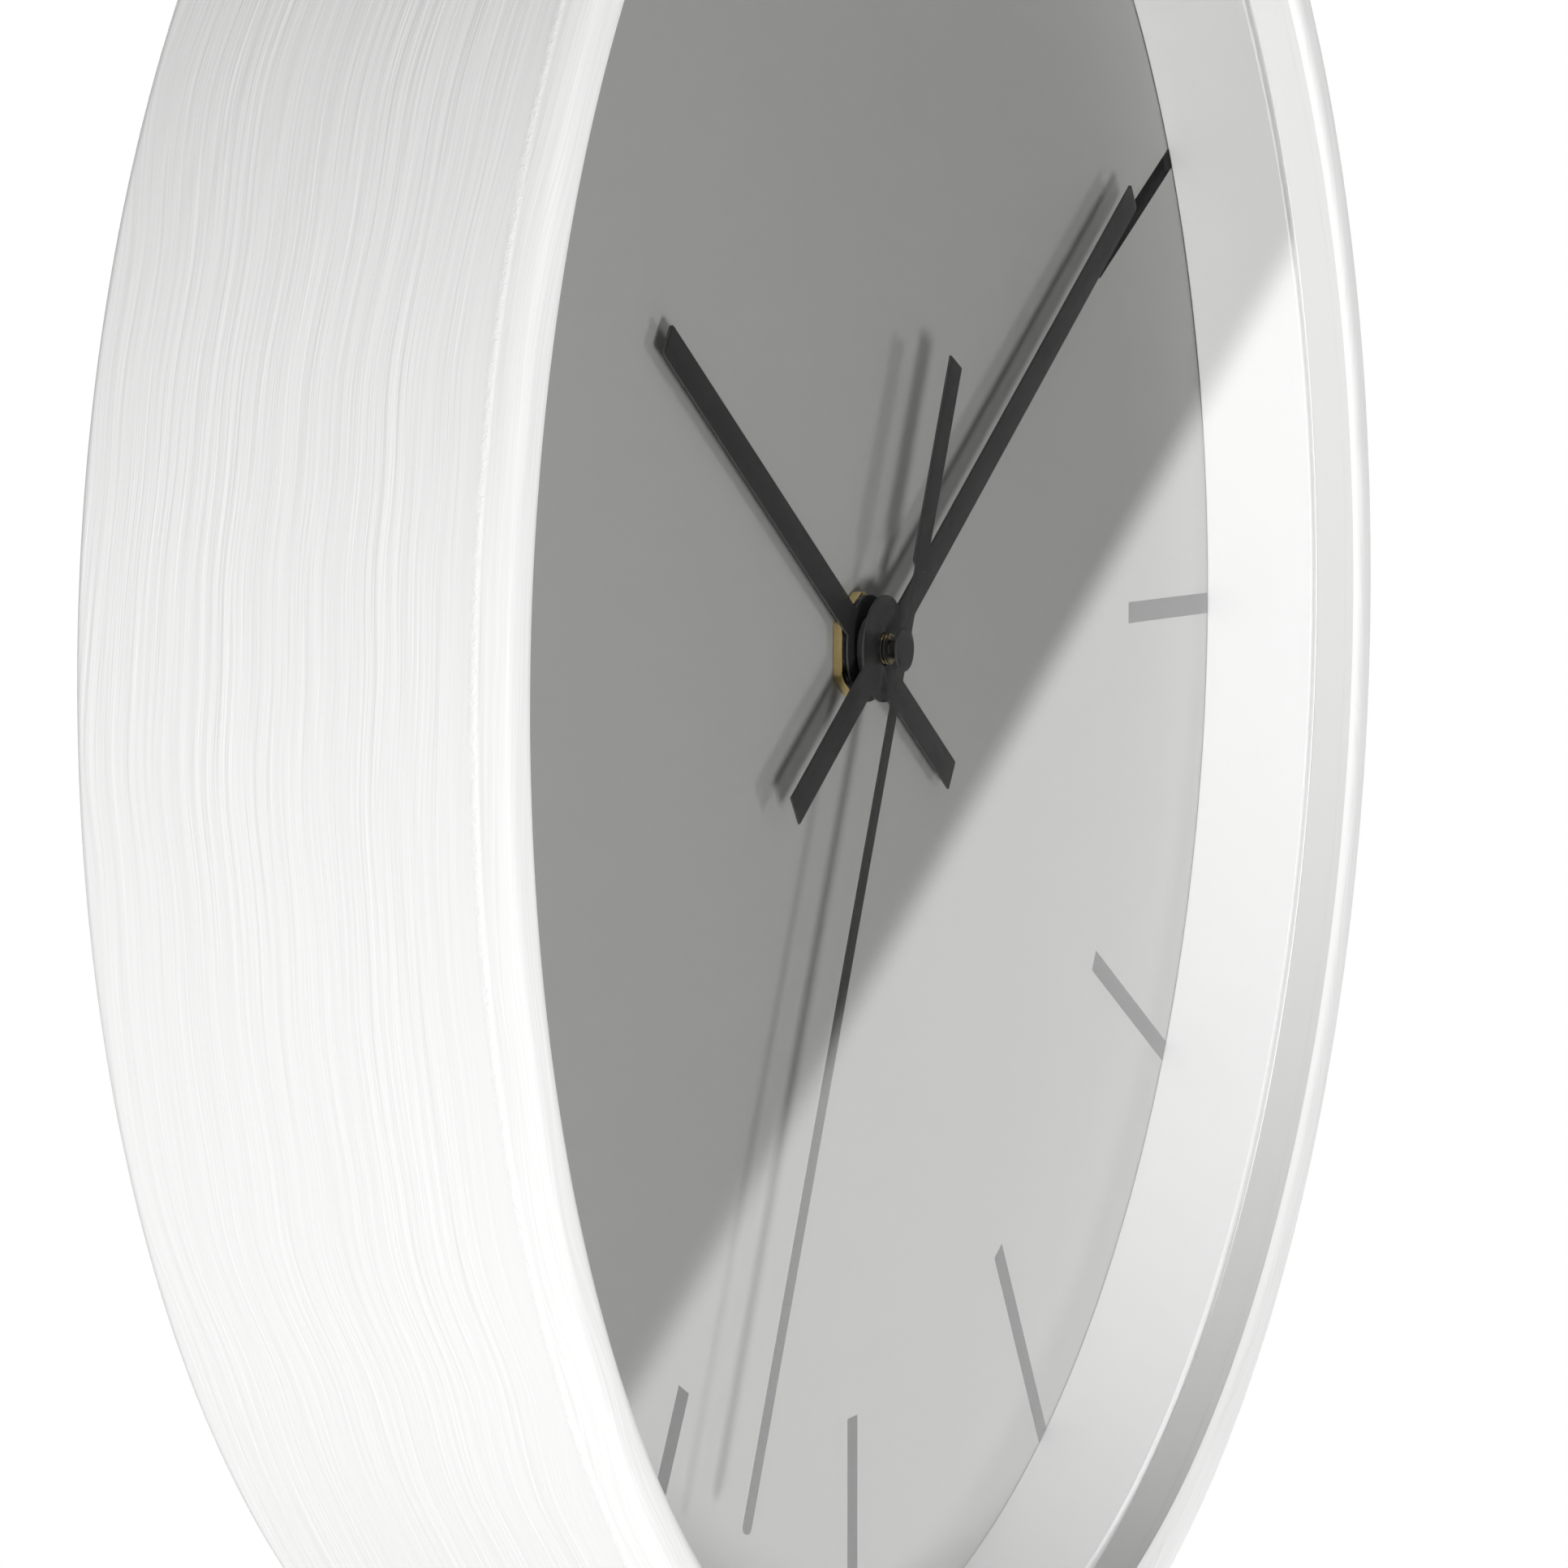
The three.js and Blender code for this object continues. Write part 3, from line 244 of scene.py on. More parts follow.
def painted_wood():
    """White paint brushed round the wall, with the grain of the wood under it."""
    made = Surface("painted_wood", Roughness=0.5, IOR=1.46, Specular_IOR_Level=0.25)
    across, deep, up = made.axes()
    radius = made.radius(across, up)
    # One length runs along the wall and on over the nose, and the streaks wander along it.
    drift = made.ranged(made.noise(14, detail=2.0, stretch=(1, 0.5, 1)), 0.25, 0.75, -0.004, 0.004)
    along = made.maths("ADD", made.maths("ADD", deep, radius), drift)
    brushed = made.node("ShaderNodeCombineXYZ")
    for output, axis in ((across, "X"), (along, "Y"), (up, "Z")):
        made.wire(output, brushed.inputs[axis])
    streaks = made.noise(
        1000, detail=3.0, roughness=0.55, stretch=(0.018, 1.15, 0.018), vector=brushed.outputs[0])
    hairs = made.noise(
        1000, detail=2.0, roughness=0.6, stretch=(0.05, 3.2, 0.05), vector=brushed.outputs[0])
    pits = made.noise(420, detail=3.0, roughness=0.6, stretch=(1, 1.2, 1))
    patches = made.noise(30, detail=1.0, stretch=(0.5, 2.2, 0.5))
    # The streaks fade towards the nose, come back finer on it, and stop inside the opening.
    side = made.ranged(
        deep, (FRONT_Y + STREAKS_START) * MM, (FRONT_Y + STREAKS_START + STREAKS_GROW) * MM,
        0.3, 1.0, smooth=True)
    outside = made.ranged(radius, (FRAME_RADIUS - 1.5) * MM, (FRAME_RADIUS - 0.5) * MM, 0.1, 1.0)
    strength = made.maths("MULTIPLY", side, outside)
    strength = made.maths("MULTIPLY", strength, made.ranged(patches, 0.3, 0.65, 0.45, 1.1))
    nose = made.ranged(deep, (FRONT_Y + 2.2) * MM, (FRONT_Y + 1.9) * MM, 0.0, 1.0)
    wear_and_glint = made.maths("MULTIPLY", nose, made.ranged(
        radius, (FRAME_RADIUS - NOSE_WEAR_START) * MM, (FRAME_RADIUS - NOSE_WEAR_AND_SHADE_END) * MM,
        0.25, 1.0))
    relief = made.maths("MULTIPLY", made.maths("MULTIPLY_ADD", hairs, 0.3, streaks), strength)
    relief = made.maths("MULTIPLY_ADD", made.maths("MULTIPLY", hairs, wear_and_glint), 0.22, relief)
    # Paint breaks up into small chips along the crease between wall and nose.
    crease = made.maths("ABSOLUTE", made.maths(
        "SUBTRACT", made.maths("ADD", deep, radius), (FRONT_Y + OUTER_CREASE + FRAME_RADIUS) * MM))
    chips = made.ranged(made.noise(1100, detail=4.0, roughness=0.7), 0.42, 0.58, 0.0, 1.0)
    chipped = made.maths("MULTIPLY", chips, made.ranged(
        crease, 0.0, CHIPPED_WIDTH * MM, 1.0, 0.0, smooth=True))
    coarse = made.bump(relief, 0.13)
    nicked = made.bump(chipped, 0.032, after=coarse)
    made.bump(pits, 0.018, after=nicked)
    plain = made.blend(
        made.ranged(relief, 0.2, 0.9, 0.0, 1.0), tinted(PAINT, 0.975), tinted(PAINT, 1.0))
    # The nose is painted darker than the wall, and darkest just inside the crease: painted shade
    # that tones down the key light on the rounded nose.
    combed = made.ranged(hairs, 0.35, 0.65, 0.0, 1.0)
    nose_painted_shade = made.blend(
        made.ranged(
            radius, (FRAME_RADIUS - NOSE_WEAR_AND_SHADE_END) * MM, (FRAME_RADIUS - 1.2) * MM, 0.0, 1.0),
        made.blend(combed, tinted(PAINT, 0.83), tinted(PAINT, 0.91)),
        made.blend(combed, tinted(PAINT, 0.75), tinted(PAINT, 0.81)))
    inside = made.ranged(radius, (OPENING_RADIUS + 0.4) * MM, (OPENING_RADIUS + 1.2) * MM, 0.0, 1.0)
    made.colour(made.blend(made.maths("MULTIPLY", nose, inside), plain, nose_painted_shade))
    made.rough(made.ranged(pits, 0.3, 0.7, 0.44, 0.56))
    return made.material


def clear_acrylic():
    """Polished clear sheet, with the faintest waviness of its gloss."""
    made = Surface("clear_acrylic", Roughness=0.0, IOR=1.49, Transmission_Weight=1.0)
    wave = made.noise(9, detail=1.0)
    made.colour(made.blend(wave, (0.985, 0.992, 0.99, 1.0), (0.995, 0.998, 0.997, 1.0)))
    return made.material


def printed_card():
    """Matte printed card: flat grey ink over faint paper fibres."""
    made = Surface("printed_card", Roughness=0.8, Specular_IOR_Level=0.2)
    fibres = made.noise(1600, detail=3.0, roughness=0.6, stretch=(1.0, 1.0, 0.4))
    clouds = made.noise(25, detail=2.0)
    mixed = made.maths("MULTIPLY_ADD", fibres, 0.5, made.maths("MULTIPLY", clouds, 0.5))
    made.colour(made.blend(
        made.ranged(mixed, 0.3, 0.7, 0.0, 1.0),
        (0.350, 0.350, 0.339, 1.0), (0.362, 0.362, 0.350, 1.0)))
    made.rough(made.ranged(fibres, 0.3, 0.7, 0.76, 0.86))
    made.bump(fibres, 0.006)
    return made.material


def hardboard():
    """Pressed wood fibre: brown flecks and a dented, felted surface."""
    made = Surface("hardboard", Roughness=0.85)
    flecks = made.noise(1300, detail=5.0, roughness=0.7, stretch=(1.0, 1.0, 0.3))
    crossed = made.noise(1300, detail=5.0, roughness=0.7, stretch=(0.3, 1.0, 1.0))
    clouds = made.noise(40, detail=3.0)
    mixed = made.maths(
        "ADD", made.maths("MULTIPLY", flecks, 0.5), made.maths("MULTIPLY", crossed, 0.5))
    light = made.blend(clouds, (0.30, 0.175, 0.088, 1.0), (0.36, 0.22, 0.115, 1.0))
    made.colour(made.blend(
        made.ranged(mixed, 0.38, 0.62, 0.0, 1.0), (0.13, 0.068, 0.031, 1.0), light))
    made.rough(made.ranged(clouds, 0.3, 0.7, 0.78, 0.92))
    made.bump(mixed, 0.09)
    return made.material


LINE_SOFT = 0.02  # the width over which the bare line fades, on each of its sides


def edged_gloss(outer_mm, start_mm, end_mm):
    """Black gloss on a turned ring, with a line of bare polished metal round its rim."""
    made = Surface("black_gloss_edged")
    across, deep, up = made.axes()
    radius = made.radius(across, up)
    rim = made.ranged(radius, (outer_mm - 0.08) * MM, (outer_mm - 0.05) * MM, 0.0, 1.0)
    bare = made.maths("MULTIPLY", rim, made.ranged(
        deep, start_mm * MM, (start_mm + LINE_SOFT) * MM, 0.0, 1.0))
    bare = made.maths("MULTIPLY", bare, made.ranged(
        deep, (end_mm - LINE_SOFT) * MM, end_mm * MM, 1.0, 0.0))
    turned = made.noise(900, detail=2.0, stretch=(0.1, 6.0, 0.1))
    metal = made.blend(turned, grey(0.78), grey(0.88))
    made.colour(made.blend(bare, grey(0.006), metal))
    made.wire(bare, made.shader.inputs["Metallic"])
    made.rough(made.ranged(turned, 0.3, 0.7, 0.12, 0.18))
    return made.material


THREAD_PITCH = 0.4
THREAD_GLINT_BAND = (1.0, 1.35)  # the heights above and below the axis between which brass flecks show: painted glints at the shaft's top and bottom


def threaded_brass():
    """The blackened end of a threaded shaft, with brass flecks set only at its top and bottom:
    painted glints, where light catches the thread.
    """
    made = Surface("threaded_brass", Roughness=0.35)
    axes = made.axes()
    thread = made.maths("SINE", made.maths(
        "MULTIPLY", axes["Y"], 2 * math.pi / (THREAD_PITCH * MM)))
    flecks = made.ranged(made.noise(3000, detail=3.0, roughness=0.7), 0.47, 0.56, 0.0, 1.0)
    height = made.maths("ABSOLUTE", axes["Z"])
    # Brass shows only near the top and bottom of the shaft end: painted glints.
    wear_and_glint = made.maths("MULTIPLY", flecks, made.ranged(
        height, THREAD_GLINT_BAND[0] * MM, THREAD_GLINT_BAND[1] * MM, 0.0, 1.0))
    made.colour(made.blend(wear_and_glint, (0.022, 0.021, 0.019, 1.0), (0.62, 0.50, 0.22, 1.0)))
    made.wire(wear_and_glint, made.shader.inputs["Metallic"])
    made.rough(made.ranged(flecks, 0.0, 1.0, 0.5, 0.28))
    made.bump(thread, 0.05)
    return made.material


def painted_hand():
    """Thin satin black paint on a stamped hand, with painted light on its cut edges: they are
    coloured lighter than the faces.
    """
    made = Surface("black_painted_metal", Specular_IOR_Level=0.13)
    fine = made.noise(8300, detail=4.0, roughness=0.6)
    broad = made.noise(690, detail=2.0)
    facing = made.axes(made.node("ShaderNodeNewGeometry").outputs["Normal"])
    # Where the normal turns away from the hands' axis, on the cut edges, the colour is lighter:
    # painted light that lifts the edges out of their shade.
    edge = made.ranged(made.maths("ABSOLUTE", facing["Y"]), 0.4, 0.85, 1.0, 0.0)
    face = made.blend(broad, grey(0.0235), grey(0.0275))
    rim = made.blend(broad, grey(0.064), grey(0.078))
    made.colour(made.blend(edge, face, rim))
    made.rough(made.ranged(broad, 0.3, 0.7, 0.34, 0.42))
    made.bump(fine, 0.001)
    return made.material


CELL_BAND = (11.8, 12.0)  # where along X the jacket turns from dark to light


def jacketed_cell():
    """A printed battery jacket: a dark body with a lighter band towards its positive end."""
    made = Surface("battery_jacket", Roughness=0.28, Coat_Weight=0.4, Coat_Roughness=0.12)
    band = made.ranged(made.axes()["X"], CELL_BAND[0] * MM, CELL_BAND[1] * MM, 0.0, 1.0)
    creases = made.noise(120, detail=3.0, stretch=(0.25, 1.0, 1.0))
    specks = made.noise(2400, detail=2.0)
    dark = made.blend(specks, (0.035, 0.042, 0.050, 1.0), (0.045, 0.054, 0.064, 1.0))
    light = made.blend(specks, (0.40, 0.42, 0.43, 1.0), (0.46, 0.48, 0.49, 1.0))
    made.colour(made.blend(band, dark, light))
    made.rough(made.ranged(creases, 0.3, 0.7, 0.22, 0.36))
    made.bump(creases, 0.03)
    return made.material


def brushed_metal(name, colour, roughness, grain=0.25, bump_mm=0.004, direction=(1, 1, 0.05)):
    return mottled(
        name, colour, 0.06, roughness, 0.07, grain, bump_mm, stretch=direction, Metallic=1.0)


MATERIALS = {
    "white_painted_wood": painted_wood(),
    "clear_acrylic": clear_acrylic(),
    "printed_card": printed_card(),
    "hardboard": hardboard(),
    "white_plastic": mottled("white_plastic", (0.955, 0.955, 0.95), 0.006, 0.42, 0.05, 0.5, 0.004),
    "black_painted_metal": painted_hand(),
    "black_gloss_plastic": mottled(
        "black_gloss_plastic", (0.006, 0.006, 0.006), 0.2, 0.16, 0.03, 0.3, 0.001),
    "brass": brushed_metal("brass", (0.97, 0.74, 0.34), 0.30, direction=(1, 0.2, 1)),
    "steel": brushed_metal("steel", (0.62, 0.63, 0.65), 0.34),
    "black_plastic": mottled("black_plastic", (0.012, 0.012, 0.013), 0.15, 0.48, 0.07, 0.22, 0.02),
    "gear_plastic": mottled("gear_plastic", (0.78, 0.75, 0.66), 0.03, 0.45, 0.05, 0.3, 0.004),
    "black_rubber": mottled("black_rubber", (0.010, 0.010, 0.010), 0.15, 0.85, 0.06, 0.2, 0.01),
    "copper_wire": brushed_metal(
        "copper_wire", (0.70, 0.26, 0.12), 0.30, grain=0.12, bump_mm=0.03,
        direction=(0.02, 0.02, 1)),
    "circuit_green": mottled("circuit_green", (0.03, 0.14, 0.06), 0.12, 0.35, 0.05, 0.6, 0.006),
    "rotor_magnet": brushed_metal("rotor_magnet", (0.10, 0.10, 0.105), 0.45),
    "battery_jacket": jacketed_cell(),
}
# The hour hand's boss gets a mid grey, far lighter than the hands' black: painted light, since it
# sits in the shade of the minute hand's disc.
BOSS_PAINTED_LIGHT = mottled("boss_painted_light", (0.21, 0.21, 0.21), 0.08, 0.30, 0.05, 0.2, 0.001)
THREADED_BRASS = threaded_brass()
INK = mottled(
    "printed_ink", (0.009, 0.009, 0.009), 0.08, 0.6, 0.04, 0.2, 0.002, Specular_IOR_Level=0.03)


def dress_cad_nodes():
    """Every CAD node gets the finish that the record names for it."""
    for entry in frame["record"]["subparts"]:
        mesh = NODES[entry["node"]].data
        mesh.materials.clear()
        mesh.materials.append(MATERIALS[entry["material_slot"]])


dress_cad_nodes()

# ---- mesh helpers ----

SMOOTH_ANGLE = math.radians(35)


def piece(name, mesh, body, slot, *nodes, material=None):
    """Puts a finished mesh in the scene, on its body, in place of the CAD nodes it stands for."""
    made = bpy.data.objects.new(name, mesh)
    bpy.context.scene.collection.objects.link(made)
    mesh.materials.clear()
    mesh.materials.append(material or MATERIALS[slot])
    mesh.shade_smooth()
    mesh.set_sharp_from_angle(angle=SMOOTH_ANGLE)
    # Wide flat faces keep their own normals, and only the rounded edges shade round.
    flat = made.modifiers.new("flat_faces", "WEIGHTED_NORMAL")
    flat.weight = 100
    flat.keep_sharp = True
    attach(made, body)
    if nodes:
        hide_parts(*nodes)
    return made


def mesh_from(work, name):
    """A bmesh as a mesh in metres, with its faces pointing out."""
    bmesh.ops.recalc_face_normals(work, faces=work.faces)
    bmesh.ops.scale(work, vec=(MM, MM, MM), verts=work.verts)
    mesh = bpy.data.meshes.new(name)
    work.to_mesh(mesh)
    work.free()
    return mesh


def add_lathe(work, profile, segments, place=(0.0, 0.0), change=None):
    """Turns a closed profile of (radius, y) about Y. Points on the axis become one vertex."""
    rings = []
    for radius, y in profile:
        if radius < 1e-6:
            rings.append([work.verts.new((place[0], y, place[1]))])
            continue
        row = []
        for step in range(segments):
            angle = 2 * math.pi * step / segments
            far, deep = (radius, y) if change is None else change(radius, y, angle)
            row.append(work.verts.new((
                place[0] + far * math.sin(angle), deep, place[1] + far * math.cos(angle))))
        rings.append(row)
    for index, row in enumerate(rings):
        after = rings[(index + 1) % len(rings)]
        if len(row) == 1 and len(after) == 1:
            continue
        for step in range(segments):
            onward = (step + 1) % segments
            corners = [row[step % len(row)], row[onward % len(row)],
                       after[onward % len(after)], after[step % len(after)]]
            work.faces.new(list(dict.fromkeys(corners)))


def lathe(name, profile, segments, **options):
    work = bmesh.new()
    add_lathe(work, profile, segments, **options)
    return mesh_from(work, name)


def arc(centre, radius, start, stop, steps=8):
    """Points of a profile in (radius, y), or an outline in (x, z), along an arc. In degrees."""
    angles = (math.radians(start + (stop - start) * step / steps) for step in range(steps + 1))
    return [(centre[0] + radius * math.cos(a), centre[1] + radius * math.sin(a)) for a in angles]


def rounded_ring(outer, inner, front, back, round_off, steps=3):
    """The section of a ring whose four edges are rounded off."""
    r = round_off
    corners = [
        ((outer - r, front + r), -90, 0), ((outer - r, back - r), 0, 90),
        ((inner + r, back - r), 90, 180), ((inner + r, front + r), 180, 270),
    ]
    return [
        point for centre, start, stop in corners for point in arc(centre, r, start, stop, steps)]


def rounded_disc(outer, front, back, round_off, steps=3):
    r = round_off
    return [(0, front), *arc((outer - r, front + r), r, -90, 0, steps),
            *arc((outer - r, back - r), r, 0, 90, steps), (0, back)]


def outline_mesh(name, outlines, front, thickness, round_off, steps=2):
    """A flat plate with rounded edges. Outlines are in (x, z), and all but the first are holes."""
    data = bpy.data.curves.new(name, "CURVE")
    data.dimensions, data.fill_mode = "2D", "BOTH"
    data.extrude = (thickness / 2 - round_off) * MM
    data.bevel_depth, data.offset = round_off * MM, -round_off * MM
    data.bevel_resolution = steps
    for outline in outlines:
        spline = data.splines.new("POLY")
        spline.points.add(len(outline) - 1)
        spline.use_cyclic_u = True
        for point, (x, z) in zip(spline.points, outline):
            point.co = (x * MM, z * MM, 0.0, 1.0)
    holder = bpy.data.objects.new(name, data)
    mesh = bpy.data.meshes.new_from_object(holder)
    bpy.data.objects.remove(holder)
    bpy.data.curves.remove(data)
    mesh.transform(Matrix.Translation((0, (front + thickness / 2) * MM, 0)) @ Matrix.Rotation(
        math.pi / 2, 4, "X"))
    work = bmesh.new()
    work.from_mesh(mesh)
    bmesh.ops.remove_doubles(work, verts=work.verts, dist=1e-7)
    bmesh.ops.recalc_face_normals(work, faces=work.faces)
    work.to_mesh(mesh)
    work.free()
    return mesh


def circle(radius, steps=48, centre=(0.0, 0.0)):
    angles = (2 * math.pi * step / steps for step in range(steps))
    return [(centre[0] + radius * math.cos(a), centre[1] + radius * math.sin(a)) for a in angles]


def joined(name, meshes):
    """Several meshes as one, each keeping its own closed surface."""
    work = bmesh.new()
    for mesh in meshes:
        work.from_mesh(mesh)
        bpy.data.meshes.remove(mesh)
    made = bpy.data.meshes.new(name)
    work.to_mesh(made)
    work.free()
    return made


def turn_mesh(mesh, degrees):
    """Turns a mesh about the hands' axis, clockwise for a person facing the clock."""
    mesh.transform(Matrix.Rotation(math.radians(degrees), 4, "Y"))
    return mesh


# ---- the frame ring ----

RING_STEPS = 640
WALL_ROWS = 84
OUTER_NOSE = 3.7
INNER_CREASE = 0.95
INNER_NOSE = 2.2
NOSE_ROWS = 10
BACK_ROUND, REBATE_ROUND = 0.8, 0.5
LENS_PLAY = 0.1
RELIEF = 0.03
RELIEF_GROWS, RELIEF_ENDS = 5.0, 3.0  # the relief fades in behind the crease and out at the back
CREASE_WAVER = 0.10


def creased_arc(edge_radius, nose, crease, outward):
    """The nose meets the wall at a crease, then curves round until it lies flat at the front."""
    ratio = crease / nose
    start = math.pi / 2 - 2 * math.atan(ratio)
    radius = nose / math.cos(start)
    centre = (edge_radius - outward * nose, FRONT_Y + radius)
    first = math.degrees(start)
    if outward > 0:
        return arc(centre, radius, -90, -first, NOSE_ROWS)
    return arc(centre, radius, 180 + first, 270, NOSE_ROWS)


def ring_profile():
    crease_y = FRONT_Y + OUTER_CREASE
    rows = [
        (FRAME_RADIUS, crease_y + (BACK_Y - BACK_ROUND - crease_y) * row / WALL_ROWS)
        for row in range(1, WALL_ROWS + 1)
    ]
    lens_seat = LENS_FRONT_Y - LENS_PLAY
    inner = [
        (OPENING_RADIUS, lens_seat + (FRONT_Y + INNER_CREASE - lens_seat) * row / 8)
        for row in range(8)
    ]
    return [
        *creased_arc(FRAME_RADIUS, OUTER_NOSE, OUTER_CREASE, 1),
        *rows,
        *arc((FRAME_RADIUS - BACK_ROUND, BACK_Y - BACK_ROUND), BACK_ROUND, 20, 90, 4),
        *arc((REBATE_RADIUS + REBATE_ROUND, BACK_Y - REBATE_ROUND), REBATE_ROUND, 90, 180, 4),
        (REBATE_RADIUS, (BACK_Y + lens_seat) / 2),
        (REBATE_RADIUS, lens_seat),
        *inner,
        *creased_arc(OPENING_RADIUS, INNER_NOSE, INNER_CREASE, -1),
    ]


def brushed_wall(radius, y, angle):
    """Moves the outer wall in and out along the brush strokes, and lets the nose's crease waver."""
    round_place = Vector((math.cos(angle), math.sin(angle), 0))
    if radius > FRAME_RADIUS - 0.01:
        fade = min(1.0, max(0.0, (y - FRONT_Y - OUTER_CREASE) / RELIEF_GROWS))
        fade *= min(1.0, max(0.0, (BACK_Y - y) / RELIEF_ENDS))
        wander = 1.6 * noise.noise(round_place * 2.2 + Vector((0, 0, y * 0.03)))
        stroke = noise.noise(round_place * 3.0 + Vector((0, 0, (y + wander) * 0.75)))
        fine = noise.noise(round_place * 7.0 + Vector((3, 1, (y + wander) * 1.9)))
        radius += RELIEF * fade * (stroke + 0.5 * fine) - RELIEF
        if abs(y - FRONT_Y - OUTER_CREASE) < 0.01:
            y += CREASE_WAVER * noise.noise(round_place * 60)
    return radius, y


def add_frame_ring():
    mesh = lathe("frame_ring_painted", ring_profile(), RING_STEPS, change=brushed_wall)
    ring = piece("frame_ring_painted", mesh, "clock_body", "white_painted_wood", "frame_ring")
    # The lens shows only the studio beyond the frame, without a second image of the frame's wall.
    ring.visible_glossy = False
    ring.visible_transmission = False


# ---- lens, spacer, dial and marks ----

FINE_STEPS = 384
MARK_COUNT = 12
MARK_INNER_RADIUS = 88.8
MARK_WIDTH = 2.77
MARK_HEIGHT = 0.03
MARK_HIDDEN = 1.0  # how far inside the dial's edge a bar ends, under the spacer band
LENS_ROUND, SPACER_ROUND, DIAL_ROUND = 0.25, 0.2, 0.08


def add_lens():
    mesh = lathe("lens", rounded_disc(
        high_mm("plexiglass").x, LENS_FRONT_Y, LENS_BACK_Y, LENS_ROUND), FINE_STEPS)
    lens = piece("lens", mesh, "clock_body", "clear_acrylic", "plexiglass")
    # Clear sheet lets the studio light through to the dial.
    lens.visible_shadow = False
    lens.visible_diffuse = False


def add_spacer():
    mesh = lathe("spacer_band", rounded_ring(
        high_mm("spacer_ring").x, SPACER_INNER_RADIUS,
        low_mm("spacer_ring").y, high_mm("spacer_ring").y, SPACER_ROUND), FINE_STEPS)
    piece("spacer_band", mesh, "clock_body", "white_plastic", "spacer_ring")


def add_dial():
    mesh = lathe("dial", rounded_ring(
        DIAL_RADIUS, BOARD_HOLE_RADIUS, DIAL_Y, high_mm("dial_sheet").y, DIAL_ROUND, 2), FINE_STEPS)
    piece("dial", mesh, "clock_body", "printed_card", "dial_sheet")


def add_marks():
    """Twelve plain bars of ink, which run out under the spacer band."""
    half = MARK_WIDTH / 2
    outer = DIAL_RADIUS - MARK_HIDDEN
    outline = [(-half, MARK_INNER_RADIUS), (half, MARK_INNER_RADIUS), (half, outer), (-half, outer)]
    bars = [
        turn_mesh(
            outline_mesh("bar", [outline], DIAL_Y - MARK_HEIGHT, MARK_HEIGHT, 0.004, 0),
            360 / MARK_COUNT * hour)
        for hour in range(MARK_COUNT)
    ]
    piece("hour_marks", joined("hour_marks", bars), "clock_body", "printed_card", material=INK)


# ---- hands and the stack on the shaft ----

HAND_ROUND = 0.05
HAND_WIDTH = 3.7
HAND_TAIL = 29.4
HAND_TIP_ROUND = 0.5
HAND_DISC = 6.1
HOUR_LIFT = 2.05  # from the dial to the front face of the hour hand's bar
HOUR_BOSS = 3.8
HOUR_BORE, MINUTE_BORE, SECONDS_BORE = 2.65, 1.9, 0.85
HOUR_ANGLE, HOUR_LENGTH = 303.8, 62.4
MINUTE_ANGLE, MINUTE_LENGTH = 55.9, 95.7
SECONDS_ANGLE, SECONDS_LENGTH = 204.6, 101.7
SECONDS_WIDTH, SECONDS_TAIL_WIDTH = 1.8, 3.5
SECONDS_TAIL, SECONDS_NECK = 35.7, 10.2
SECONDS_DISC = 2.53
SECONDS_TUBE = 1.05
HAND_THICKNESS = 0.3


def bar_with_disc(length, width, tail, disc, tip_round=HAND_TIP_ROUND, tail_width=None, neck=None):
    """A straight hand pointing at twelve, whose bar widens to a disc round the axis."""
    half = width / 2
    back_half = (tail_width or width) / 2
    front_angle = math.degrees(math.acos(half / disc))
    back_angle = math.degrees(math.acos(min(1.0, back_half / disc)))
    right = [(half, -tail)]
    if neck:
        right = [(back_half, -tail), (back_half, -neck), (half, -neck + 0.4)]
    start_angle = -front_angle if neck else -back_angle
    right += arc((0, 0), disc, start_angle, front_angle, 24)
    right += arc((half - tip_round, length - tip_round), tip_round, 0, 90)
    left = [(-x, z) for x, z in reversed(right)]
    return right + left


def hand_plate(name, outline, front, bore):
    return outline_mesh(name, [outline, circle(bore)], front, HAND_THICKNESS, HAND_ROUND)


def add_hour_hand():
    front = DIAL_Y - HOUR_LIFT
    mesh = turn_mesh(hand_plate(
        "hour_hand_satin", bar_with_disc(HOUR_LENGTH, HAND_WIDTH, HAND_TAIL, HAND_DISC),
        front, HOUR_BORE), HOUR_ANGLE)
    piece("hour_hand_satin", mesh, "hour_hand_set", "black_painted_metal", "hour_hand")
    # The boss takes the lighter grey finish: painted light in the shade of the minute hand's disc.
    boss = lathe("hour_boss_painted_light", rounded_ring(
        HOUR_BOSS, HOUR_BORE, low_mm("hour_hand").y, front - 0.01, 0.15), 96)
    piece("hour_boss_painted_light", boss, "hour_hand_set", "black_gloss_plastic", material=BOSS_PAINTED_LIGHT)


def add_minute_hand():
    front = low_mm("minute_hand").y
    mesh = turn_mesh(hand_plate(
        "minute_hand_satin", bar_with_disc(MINUTE_LENGTH, HAND_WIDTH, HAND_TAIL, HAND_DISC),
        front, MINUTE_BORE), MINUTE_ANGLE)
    piece("minute_hand_satin", mesh, "minute_hand_set", "black_painted_metal", "minute_hand")


def add_seconds_hand():
    front = low_mm("seconds_hand").y
    back = high_mm("seconds_hand").y
    outline = bar_with_disc(
        SECONDS_LENGTH, SECONDS_WIDTH, SECONDS_TAIL, SECONDS_DISC, tip_round=0.8,
        tail_width=SECONDS_TAIL_WIDTH, neck=SECONDS_NECK)
    plate = outline_mesh("plate", [outline], front, HAND_THICKNESS, HAND_ROUND)
    tube = lathe("tube", rounded_ring(SECONDS_TUBE, SECONDS_BORE, front + 0.2, back, 0.08, 2), 48)
    mesh = turn_mesh(joined("seconds_hand_satin", [plate, tube]), SECONDS_ANGLE)
    piece("seconds_hand_satin", mesh, "seconds_hand_set", "black_painted_metal", "seconds_hand")


COLLAR_BARE_LINE = (0.36, 0.13)  # the line's front and rear limits, ahead of the collar's back
